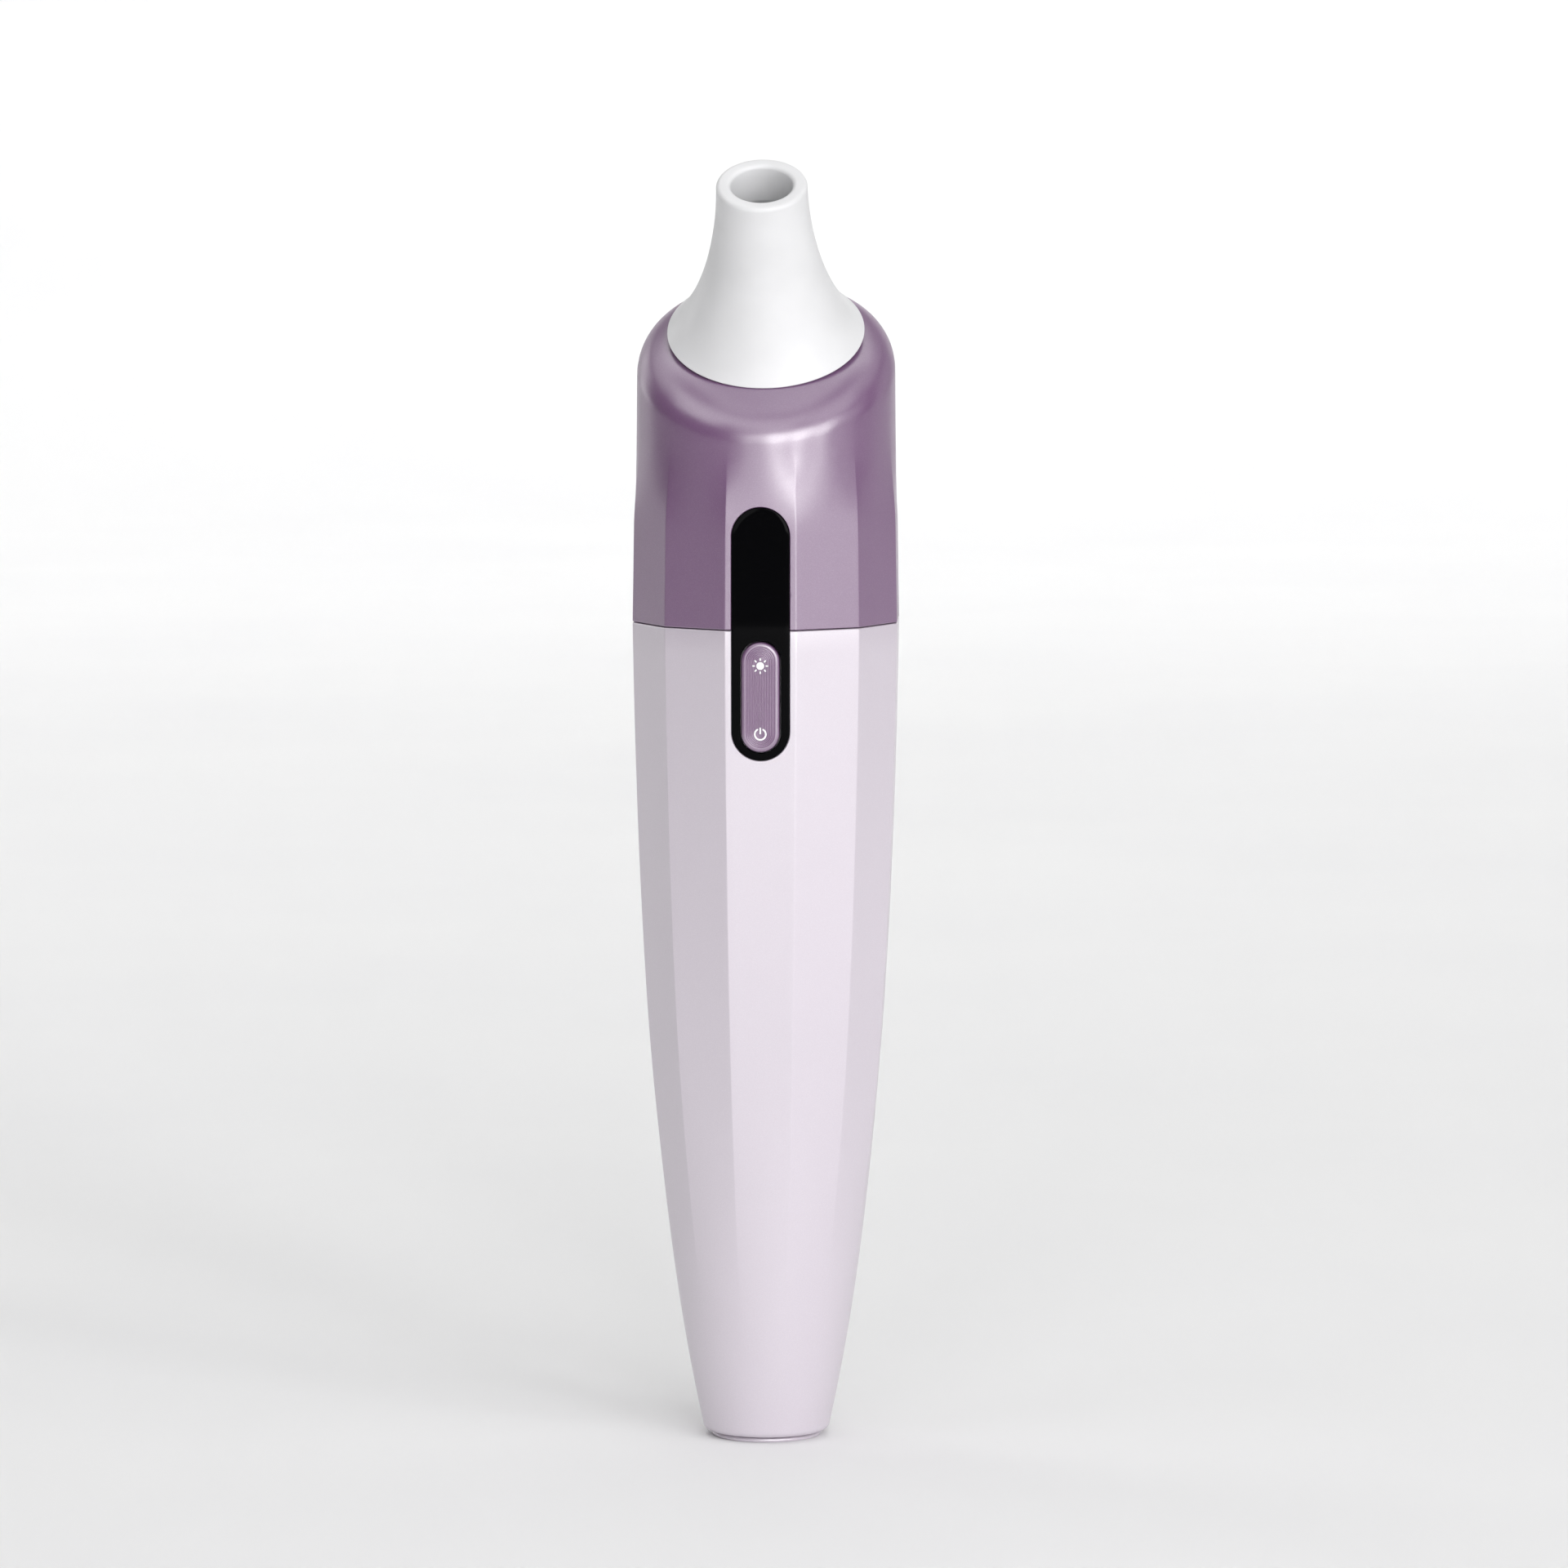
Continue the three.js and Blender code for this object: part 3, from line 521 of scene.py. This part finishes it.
def board_material():
    made = Shader("board_mask", (0.012, 0.1, 0.045), Coat_Weight=0.3)
    tracks = made.noise(450, detail=0, stretch=(1, 1, 3))
    made.tint(tracks, (0.03, 0.2, 0.08), 0.5, 0.54)
    made.vary("Roughness", tracks, 0.3, 0.45)
    made.bump(tracks, 0.00002)
    return made.material


def cell_sleeve():
    made = Shader("cell_sleeve", (0.03, 0.14, 0.42), Coat_Weight=0.3)
    made.tint(made.noise(60, detail=2, stretch=(1, 1, 0.2)), (0.02, 0.1, 0.33))
    made.vary("Roughness", made.noise(300), 0.22, 0.34)
    made.bump(made.noise(250, detail=3), 0.00002)
    return made.material


def winding_material():
    made = Shader("armature", (0.5, 0.2, 0.08), Metallic=0.9)
    turns = made.noise(500, detail=1, stretch=(1, 1, 12))
    made.tint(turns, (0.28, 0.1, 0.04))
    made.vary("Roughness", turns, 0.3, 0.5)
    made.bump(turns, 0.00008)
    return made.material


def silicone_material():
    made = Shader("silicone", (0.66, 0.67, 0.68), Subsurface_Weight=0.15)
    made.principled.inputs["Subsurface Radius"].default_value = (0.002, 0.002, 0.002)
    made.tint(made.noise(150), (0.58, 0.59, 0.6))
    made.vary("Roughness", made.noise(500), 0.45, 0.6)
    made.bump(made.noise(900), 0.00001)
    return made.material


def diffuser_material():
    made = Shader("diffuser", (0.86, 0.87, 0.9), Subsurface_Weight=0.3)
    made.principled.inputs["Subsurface Radius"].default_value = (0.003, 0.003, 0.003)
    made.tint(made.noise(200), (0.78, 0.8, 0.85))
    made.vary("Roughness", made.noise(700), 0.3, 0.45)
    made.bump(made.noise(1200), 0.000008)
    return made.material


# The third value of each lacquer is the lighter colour of its painted flake glints.
LILAC = pearl_lacquer("lilac_pearl", (0.6, 0.535, 0.61), (0.85, 0.8, 0.87), 3.0, 0.31)
PURPLE = pearl_lacquer("purple_satin", (0.158, 0.064, 0.17), (0.5, 0.38, 0.52), 2.8, 0.3)
WHITE = moulded_plastic("white_plastic", (0.75, 0.75, 0.76), roughness=0.38, grain=0.000003)
BLACK_WINDOW = window_acrylic()
INK = printed_ink()
GREY = moulded_plastic("grey_abs", (0.42, 0.43, 0.45))
BLACK = moulded_plastic("black_abs", (0.025, 0.025, 0.028), roughness=0.5)
STEEL = bright_metal("bright_steel", (0.6, 0.61, 0.62))
BRASS = bright_metal("turned_brass", (0.62, 0.45, 0.2), 0.3)
NICKEL = bright_metal("nickel_strip", (0.6, 0.56, 0.48), 0.3, (14, 1, 1))
FERRITE = moulded_plastic("ferrite", (0.05, 0.05, 0.055), roughness=0.7, grain=0.00003)
FOAM = foam_material()
BOARD = board_material()
SLEEVE = cell_sleeve()
WINDING = winding_material()
SILICONE = silicone_material()
DIFFUSER = diffuser_material()
PHOSPHOR = moulded_plastic("led_phosphor", (0.85, 0.75, 0.3), roughness=0.3)
RED_WIRE = moulded_plastic("red_insulation", (0.42, 0.02, 0.02), roughness=0.4)
BLACK_WIRE = moulded_plastic("black_insulation", (0.015, 0.015, 0.015), roughness=0.4)

SLOT_MATERIALS = {
    "shell_lilac": LILAC,
    "shell_purple": PURPLE,
    "nozzle_white": WHITE,
    "window_black": BLACK_WINDOW,
    "button_purple": PURPLE,
    "frame_grey": GREY,
    "case_black": BLACK,
    "display_black": BLACK_WINDOW,
    "board_green": BOARD,
    "steel": STEEL,
    "brass": BRASS,
    "copper_rotor": WINDING,
    "ferrite": FERRITE,
    "silicone": SILICONE,
    "foam": FOAM,
    "cell_wrap": SLEEVE,
    "nickel": NICKEL,
    "led_chip": PHOSPHOR,
    "light_diffuser": DIFFUSER,
    "wire_red": RED_WIRE,
    "wire_black": BLACK_WIRE,
}


def dress_cad_nodes():
    for part in frame["record"]["subparts"]:
        node = frame["nodes"][part["node"]]
        node.data.materials.clear()
        node.data.materials.append(SLOT_MATERIALS[part["material_slot"]])


# ---- Handle ----


def make_body_shell():
    top_fillet = 0.2
    foot = [section_ring(r, z, body_sharpness(z)) for r, z in arc((7.66, FOOT_Z + 1), 1, -90, 0, 6)]
    line = bezier(BODY_LINE, np.linspace(1, 0, 64)[1:])
    side_line = [p for p in line if p[1] < SPLIT_Z - top_fillet]
    side = [section_ring(r, z, body_sharpness(z)) for r, z in side_line]
    rounding = arc((0, SPLIT_Z - top_fillet), top_fillet, 0, 90, 4)
    top = [section_ring(body_radius(z), z, 1, top_fillet - r) for r, z in rounding]
    lip = BODY_TOP_RADIUS - WALL
    inside = [round_ring(lip + r, SPLIT_Z - z, RING_ANGLES) for r, z in ((0.3, 0), (0, 0.3))]
    for z in np.linspace(SPLIT_Z - 8, CAVITY_FOOT_Z, 12):
        inside.append(round_ring(body_radius(z) - WALL, z, RING_ANGLES))
    inside += [round_ring(BASE_BORE, z, RING_ANGLES) for z in (CAVITY_FOOT_Z, FOOT_Z)]
    shell = ring_skin("handle", foot + side + top + inside, closed=True)
    carve(shell, pocket_cutter())
    carve(shell, button_cutter())
    return dress(shell, "wand", "shell_lilac", LILAC, "body_shell")


# ---- Head ----


def head_columns(inset, start_z, rim_radius, rim_drop, corner_drop):
    """Rings of the head's skin: the wall, then the shoulder that rolls over to a circle below the seat.

    Towards the back, the circle and the corner that the shoulder rounds off lie lower by the drops.
    """
    wall_steps, shoulder_steps = 26, 20
    facing = np.cos(RING_ANGLES)
    backing = (1 - facing) / 2
    depth = inset or SHOULDER_STEP
    wall_top = WALL_TOP_SIDE + WALL_TOP_TILT * facing + WALL_TOP_BEND * facing**2 - inset / 2
    slope = SEAT_BACK.z / SEAT_BACK.y
    rings = []

    def wall_point(i, z):
        if inset:
            angle, distance = RING_ANGLES[i], float(head_radius(z)) - inset
        else:
            angles, distances = section(float(head_radius(z)), float(head_sharpness(z)))
            angle, distance = angles[i], distances[i]
        return Vector((distance * math.sin(angle), -distance * math.cos(angle), z))

    for t in np.linspace(0, 1, wall_steps + 1)[:-1]:
        heights = start_z + t * (wall_top - start_z)
        rings.append([wall_point(i, z) for i, z in enumerate(heights)])
    curves = []
    for i, angle in enumerate(RING_ANGLES):
        start = wall_point(i, wall_top[i])
        rim_out = -depth - rim_drop * backing[i]
        rim = on_seat((rim_radius * math.sin(angle), -rim_radius * facing[i], rim_out))
        slant_drop = (depth + corner_drop * backing[i]) / SEAT_UP.z
        corner_z = SEAT_CENTRE.z + (start.y - SEAT_CENTRE.y) * slope - slant_drop
        corner = Vector((start.x, start.y, corner_z))
        handles = [start, start.lerp(corner, 0.58), rim.lerp(corner, 0.58), rim]
        curves.append(bezier(handles, np.linspace(0, 1, shoulder_steps + 1)))
    rings += [[curve[k] for curve in curves] for k in range(shoulder_steps + 1)]
    return rings


def seat_ring(radius, out):
    return [on_seat((radius * math.sin(a), -radius * math.cos(a), out)) for a in RING_ANGLES]


def make_head_shell():
    foot_fillet = 0.12
    start_z = HEAD_FOOT_Z + foot_fillet
    foot = []
    for x, dz in arc((0, 0), foot_fillet, -90, -15, 3):
        foot.append(section_ring(BODY_TOP_RADIUS, start_z + dz, 1, foot_fillet - x))
    outside = foot + head_columns(0, start_z, SHOULDER_RADIUS, SHOULDER_DROP, SHOULDER_DROP)
    face = [seat_ring(SEAT_RADIUS, -0.05), seat_ring(SEAT_RADIUS - 0.05, 0)]
    face += [seat_ring(SEAT_HOLE + 0.15, 0), seat_ring(SEAT_HOLE, -0.15), seat_ring(SEAT_HOLE, -WALL)]
    inside = head_columns(WALL, HEAD_FOOT_Z, LINING_RADIUS, 0, 2.5 * SHOULDER_DROP)[::-1]
    rings = [np.array(ring, float) for ring in outside + face + inside]
    shell = ring_skin("head", rings, closed=True)
    carve(shell, pocket_cutter())
    width, height, middle = DISPLAY_OPENING
    carve(shell, pill_cutter("display_cutter", width, height, middle, OPENING_BACK, 0.05))
    return dress(shell, "wand", "shell_purple", PURPLE, "head_shell")


# ---- Window ----


def make_window():
    half = WINDOW_WIDTH / 2
    edge = 0.14
    rings = [(half - 0.05, None), (half, -0.9)]
    rings += [(half - edge + x, -edge + y - 0.01) for x, y in arc((0, 0), edge, 0, 90, 4)]
    rings += [(half * k, -0.01) for k in (0.8, 0.6, 0.4, 0.2, 0.05)]

    def front(distance, heights):
        return at_distance(WINDOW_BACK, heights) if distance is None else on_surface(distance, heights)

    lens = pill_loft("window", rings, (WINDOW_HEIGHT - WINDOW_WIDTH) / 2, WINDOW_Z, front)
    carve(lens, button_cutter())
    return dress(lens, "wand", "window_black", BLACK_WINDOW, "window_lens")


# ---- Rocker button ----

GROOVE_PITCH = 0.225
GROOVE_DEPTH = 0.08
GROOVES = 9
BUTTON_BEVEL = 0.45
PIN_HOLE_RADIUS = 0.56


def button_profile():
    """Rings from the back of the cap round its edge and over the grooved face to the middle line."""
    half = BUTTON_WIDTH / 2
    field = GROOVES * GROOVE_PITCH
    rings = [(half, 14.7), (half, 16.5), (half, BUTTON_FRONT - BUTTON_BEVEL)]
    rings += [
        (half - BUTTON_BEVEL + x, BUTTON_FRONT - BUTTON_BEVEL + y)
        for x, y in arc((0, 0), BUTTON_BEVEL, 8, 90, 8)
    ]
    for a in np.arange(field, 0.02, -GROOVE_PITCH / 8):
        ripple = 0.5 - 0.5 * math.cos(2 * math.pi * a / GROOVE_PITCH)
        rings.append((a, BUTTON_FRONT - GROOVE_DEPTH * ripple**2))
    return rings


def box_solid(name, x, y, z):
    corners = [(a, b, c) for a in x for b in y for c in z]
    faces = [(0, 1, 3, 2), (4, 6, 7, 5), (0, 4, 5, 1), (2, 3, 7, 6), (0, 2, 6, 4), (1, 5, 7, 3)]
    return outward(new_object(name, corners, faces))


def make_button():
    half_straight = (BUTTON_HEIGHT - BUTTON_WIDTH) / 2
    cap = pill_loft("rocker_cap", button_profile(), half_straight, PIVOT.z, at_distance)
    flange = pill_loft("flange", [(3.1, 14.6), (3.1, 15)], 5.1, PIVOT.z, at_distance)
    carve(cap, flange, "UNION")
    for side in (-1, 1):
        ear_x = sorted((1.8 * side, 2.7 * side))
        ear = box_solid("ear", ear_x, (-14.8, -12.9), (PIVOT.z - 1.1, PIVOT.z + 1.1))
        carve(cap, ear, "UNION")
        foot_z = PIVOT.z + 5 * side
        foot = box_solid("foot", (-0.8, 0.8), (-14.8, -13.85), (foot_z - 0.7, foot_z + 0.7))
        carve(cap, foot, "UNION")

    def across(point):
        """A point of an upright turned piece, laid along the pivot's axis."""
        return Vector((point[2], PIVOT.y + point[0], PIVOT.z + point[1]))

    pin_line = [(0, -3), (PIN_HOLE_RADIUS, -3), (PIN_HOLE_RADIUS, 3), (0, 3)]
    carve(cap, outward(lathe("pin_hole", pin_line, 32, across)))
    smooth(cap, 50)
    return dress(cap, "button", "button_purple", PURPLE, "rocker_button")


def icon_plate(name, outlines):
    """Thin printed shapes lying on the button's ridges."""
    thickness = 0.02
    points, faces = [], []
    for outline in outlines:
        start, count = len(points), len(outline)
        for depth in (-0.01, thickness):
            points += [(x, -(BUTTON_FRONT + depth), z) for x, z in outline]
        faces.append(tuple(range(start, start + count)))
        faces.append(tuple(reversed(range(start + count, start + 2 * count))))
        for i in range(count):
            n = (i + 1) % count
            faces.append((start + i, start + count + i, start + count + n, start + n))
    made = outward(new_object(name, points, faces))
    return dress(made, "button", "button_purple", INK)


def capsule(start, end, half_width, steps=6):
    """The outline of a stroke with round ends."""
    angle = math.degrees(math.atan2(end[1] - start[1], end[0] - start[0]))
    far_end = arc(end, half_width, angle - 90, angle + 90, steps)
    return far_end + arc(start, half_width, angle + 90, angle + 270, steps)


def make_icons():
    sun = (0, PIVOT.z + 4.25)
    disc = arc(sun, 0.52, 0, 360, 32)[:-1]
    rays = [capsule(polar(sun, 0.8, a), polar(sun, 0.98, a), 0.1) for a in range(0, 360, 45)]
    icon_plate("icon_light", [disc, *rays])
    power = (0, PIVOT.z - 4.95)
    middle, stroke = 0.74, 0.11
    ring = arc(power, middle + stroke, 122, 418, 40)
    ring += arc(polar(power, middle, 418), stroke, 58, 238, 6)[1:-1]
    ring += arc(power, middle - stroke, 418, 122, 40)
    ring += arc(polar(power, middle, 122), stroke, 302, 482, 6)[1:-1]
    stem = capsule((0, power[1] + 0.12), (0, power[1] + 0.82), stroke)
    icon_plate("icon_power", [ring, stem])


# ---- Nozzle, and the seat that shows when it is pulled off ----


def make_nozzle():
    foot, tip, edge = 0.1, 24.1, -0.08
    flare_line = [(13.35, edge + 0.16), (8.74, 4.6), (6.23, 14.8), (6.14, tip - 0.65)]
    flare = [tuple(p) for p in bezier(flare_line, np.linspace(0, 1, 44))]
    rim = [(12.75, foot), (12.8, edge), (13.22, edge), (13.32, edge + 0.05)]
    outer_lip = arc((5.54, tip - 0.6), 0.6, 5, 90, 7)
    inner_lip = arc((4.75, tip - 0.6), 0.6, 90, 175, 7)
    bore = [(4.12, tip - 1.4), (4.1, 21), (4.1, 18.8), (4.15, 18.5)]
    chamber_line = [(4.3, 18.2), (5.2, 15), (6.2, 9), (7.9, 5.2)]
    chamber = [tuple(p) for p in bezier(chamber_line, np.linspace(0, 1, 14))]
    socket = [(7.9, 4.8), (8.7, 4.7), (8.8, 4.6), (8.8, foot + 0.3), (9, foot)]
    outline = rim + flare + outer_lip + inner_lip + bore + chamber + socket
    nozzle = lathe("nozzle", outline, 128, on_seat)
    return dress(nozzle, "nozzle", "nozzle_white", WHITE, "suction_nozzle")


def make_seat():
    spigot = 8.6
    seat = [
        (0.85, -8.8), (1.5, -8.8), (1.7, -8.2), (1.45, -7.6), (1.6, -7), (1.45, -6.4), (1.55, -3.9),
        (10.9, -3.9), (11, -3.8), (11, -2.3), (spigot, -2.3), (spigot, 1.9), (8, 1.95), (8, 3.05),
        (spigot, 3.1), (spigot, 4.15), (spigot - 0.25, 4.4), (7.6, 4.4), (7.5, 4.3), (7.5, -2.5),
        (4, -2.5), (4, 4.3), (3.9, 4.4), (3.4, 4.4), (3.3, 4.3), (3.3, 0.5), (0.85, 0.5),
    ]
    dress(lathe("seat_spigot", seat, 96, on_seat), "wand", "nozzle_white", WHITE, "nozzle_seat")
    gasket = arc((8.28, 2.5), 0.45, -90, 270, 20)[:-1]
    gasket = [(max(r, 8.05), z) for r, z in gasket]
    dress(lathe("seat_ring_seal", gasket, 96, on_seat), "wand", "silicone", SILICONE, "seat_gasket")
    sponge = [(0, 0.8), (2.9, 0.8), (3.1, 1), (3.1, 3.9)]
    sponge += [(2.95, 4.15), (2.6, 4.25), (1.2, 4.35), (0, 4.4)]
    dress(lathe("filter_disc", sponge, 64, on_seat), "wand", "foam", FOAM, "filter_sponge")
    ring = [(4.2, 2.9), (7.3, 2.9), (7.3, 3.9)] + arc((5.75, 3.2), 1.75, 28, 152, 8) + [(4.2, 3.9)]
    dress(lathe("light_ring", ring, 96, on_seat), "wand", "light_diffuser", DIFFUSER, "led_diffuser")


# ---- Base cap and charging port ----


def base_prism(name, width, depth, from_z, to_z):
    """A pill lying across the base."""
    ring = pill_ring(depth / 2, (width - depth) / 2)
    rows = [[(p[1], p[0], z) for p in ring] for z in (from_z, to_z)]
    return ring_skin(name, rows)


def make_base():
    slot_width, slot_depth = 9.24, 3.54
    cap = [(0, 0), (7.0, 0)] + arc((7.15, 0.3), 0.3, -60, 60, 5)
    cap += [(6.9, 0.62), (6.6, 0.66), (6.6, 2), (6, 2), (6, 3)]
    cap += [(6.6, 3), (6.6, 5.3), (6.4, 5.5), (0, 5.5)]
    plug = lathe("foot_plug", cap, 96)
    carve(plug, base_prism("port_slot", slot_width, slot_depth, -1, 8))
    dress(plug, "wand", "shell_lilac", LILAC, "base_cap")
    port_low, port_high = low("charge_port_shell"), high("charge_port_shell")
    width, depth = port_high.x - port_low.x, port_high.y - port_low.y
    shell = base_prism("port_shell", width, depth, port_low.z, port_high.z)
    carve(shell, base_prism("port_hollow", width - 0.6, depth - 0.6, port_low.z - 1, port_high.z - 0.5))
    dress(shell, "wand", "steel", STEEL, "charge_port_shell")


# ---- Stage, camera and lights ----

CAMERA_AZIMUTH = math.radians(2.4)
CAMERA_PITCH = math.radians(5.97)
CAMERA_DISTANCE = 1.245
CAMERA_HEIGHT = 0.21975
CAMERA_SIDE_STEP = 0.00241
CAMERA_LENS = 211.07


def make_camera():
    data = bpy.data.cameras.new("camera")
    data.lens = CAMERA_LENS
    data.sensor_width = 36
    data.clip_start = 0.01
    camera = bpy.data.objects.new("camera", data)
    bpy.context.scene.collection.objects.link(camera)
    toward = Vector((math.sin(CAMERA_AZIMUTH), -math.cos(CAMERA_AZIMUTH), 0))
    right = Vector((math.cos(CAMERA_AZIMUTH), math.sin(CAMERA_AZIMUTH), 0))
    camera.location = toward * CAMERA_DISTANCE + right * CAMERA_SIDE_STEP
    camera.location.z = CAMERA_HEIGHT
    camera.rotation_euler = (math.pi / 2 - CAMERA_PITCH, 0, CAMERA_AZIMUTH)
    bpy.context.scene.camera = camera


def stage_material():
    made = Shader("studio_white", (0.9, 0.9, 0.9))
    made.tint(made.noise(8), (0.88, 0.88, 0.885))
    made.vary("Roughness", made.noise(20), 0.75, 0.85)
    return made.material


def make_stage():
    """A pale floor that sweeps up into a backdrop behind the object."""
    half, front, reach, curve, height = 3.0, -4.0, 1.6, 0.5, 2.6
    line = [(front, 0.0), (reach, 0.0)]
    for a in np.linspace(0.1, math.pi / 2, 12):
        line.append((reach + curve * math.sin(a), curve - curve * math.cos(a)))
    line.append((reach + curve, height))
    points = [(x / MM, y / MM, z / MM) for y, z in line for x in (-half, half)]
    faces = [(2 * i, 2 * i + 1, 2 * i + 3, 2 * i + 2) for i in range(len(line) - 1)]
    sweep = new_object("studio_sweep", points, faces)
    sweep.data.materials.append(stage_material())
    sweep.data.shade_smooth()


def softbox(name, place, aim, width, height, watts, spread=180):
    """A rectangular softbox at a place, turned towards an aim point."""
    data = bpy.data.lights.new(name, "AREA")
    data.shape = "RECTANGLE"
    data.size, data.size_y = width, height
    data.energy = watts
    data.spread = math.radians(spread)
    light = bpy.data.objects.new(name, data)
    bpy.context.scene.collection.objects.link(light)
    light.location = place
    light.rotation_euler = (Vector(place) - Vector(aim)).to_track_quat("Z", "Y").to_euler()


def around(azimuth, elevation, distance, height):
    """A place round a point of the axis. Azimuth 0 is in front of the object and 90 on its right."""
    a, e = math.radians(azimuth), math.radians(elevation)
    level = distance * math.cos(e)
    return (level * math.sin(a), -level * math.cos(a), height + distance * math.sin(e))


BOX_DISTANCE = 1.6
UPRIGHT_ELEVATION, UPRIGHT_AIM = 19, 0.06
HIGH_ELEVATION, HIGH_AIM = 55, 0.1
WORLD_LIGHT = 0.08
# Azimuth in degrees and power in watts of the upright softboxes, and of the ones above them.
UPRIGHT_BOXES = [
    ("rim_left", -130, 2.5),
    ("front_left", -10, 2.3),
    ("front", 10, 7.3),
    ("front_right", 30, 7.2),
    ("half_right", 50, 4.8),
    ("side_right", 75, 1.0),
    ("rim_right", 120, 0.8),
]
HIGH_BOXES = [
    ("high_back_left", -120, 1.5),
    ("high_left", -60, 2.6),
    ("high_front", 0, 2.3),
    ("high_right", 60, 1.9),
    ("high_back_right", 120, 1.0),
]


def make_lights():
    for name, azimuth, watts in UPRIGHT_BOXES:
        width = 0.36 if abs(azimuth) < 60 else 0.66
        place = around(azimuth, UPRIGHT_ELEVATION, BOX_DISTANCE, UPRIGHT_AIM)
        softbox(name, place, (0, 0, UPRIGHT_AIM), width, 1.05, watts)
    for name, azimuth, watts in HIGH_BOXES:
        place = around(azimuth, HIGH_ELEVATION, BOX_DISTANCE, HIGH_AIM)
        softbox(name, place, (0, 0, HIGH_AIM), 0.9, 0.7, watts)
    softbox("top", around(0, 89, 1.7, HIGH_AIM), (0, 0, HIGH_AIM), 0.9, 0.9, 2.6)
    softbox("backdrop_wash", (0, 0.5, 1.9), (0, 2.1, 0.7), 2.4, 0.5, 10.0, spread=80)
    softbox("floor_wash", (0, 1.1, 1.9), (0, 1.0, 0), 2.6, 1.0, 4.6, spread=70)
    world = bpy.data.worlds.new("studio")
    world.use_nodes = True
    background = world.node_tree.nodes["Background"]
    background.inputs["Color"].default_value = (1, 1, 1, 1)
    background.inputs["Strength"].default_value = WORLD_LIGHT
    bpy.context.scene.world = world
    bpy.context.scene.view_settings.view_transform = "Standard"


# ---- Everything, in order ----

make_camera()
make_stage()
make_lights()
dress_cad_nodes()
make_body_shell()
make_head_shell()
make_window()
make_button()
make_icons()
make_nozzle()
make_seat()
make_base()
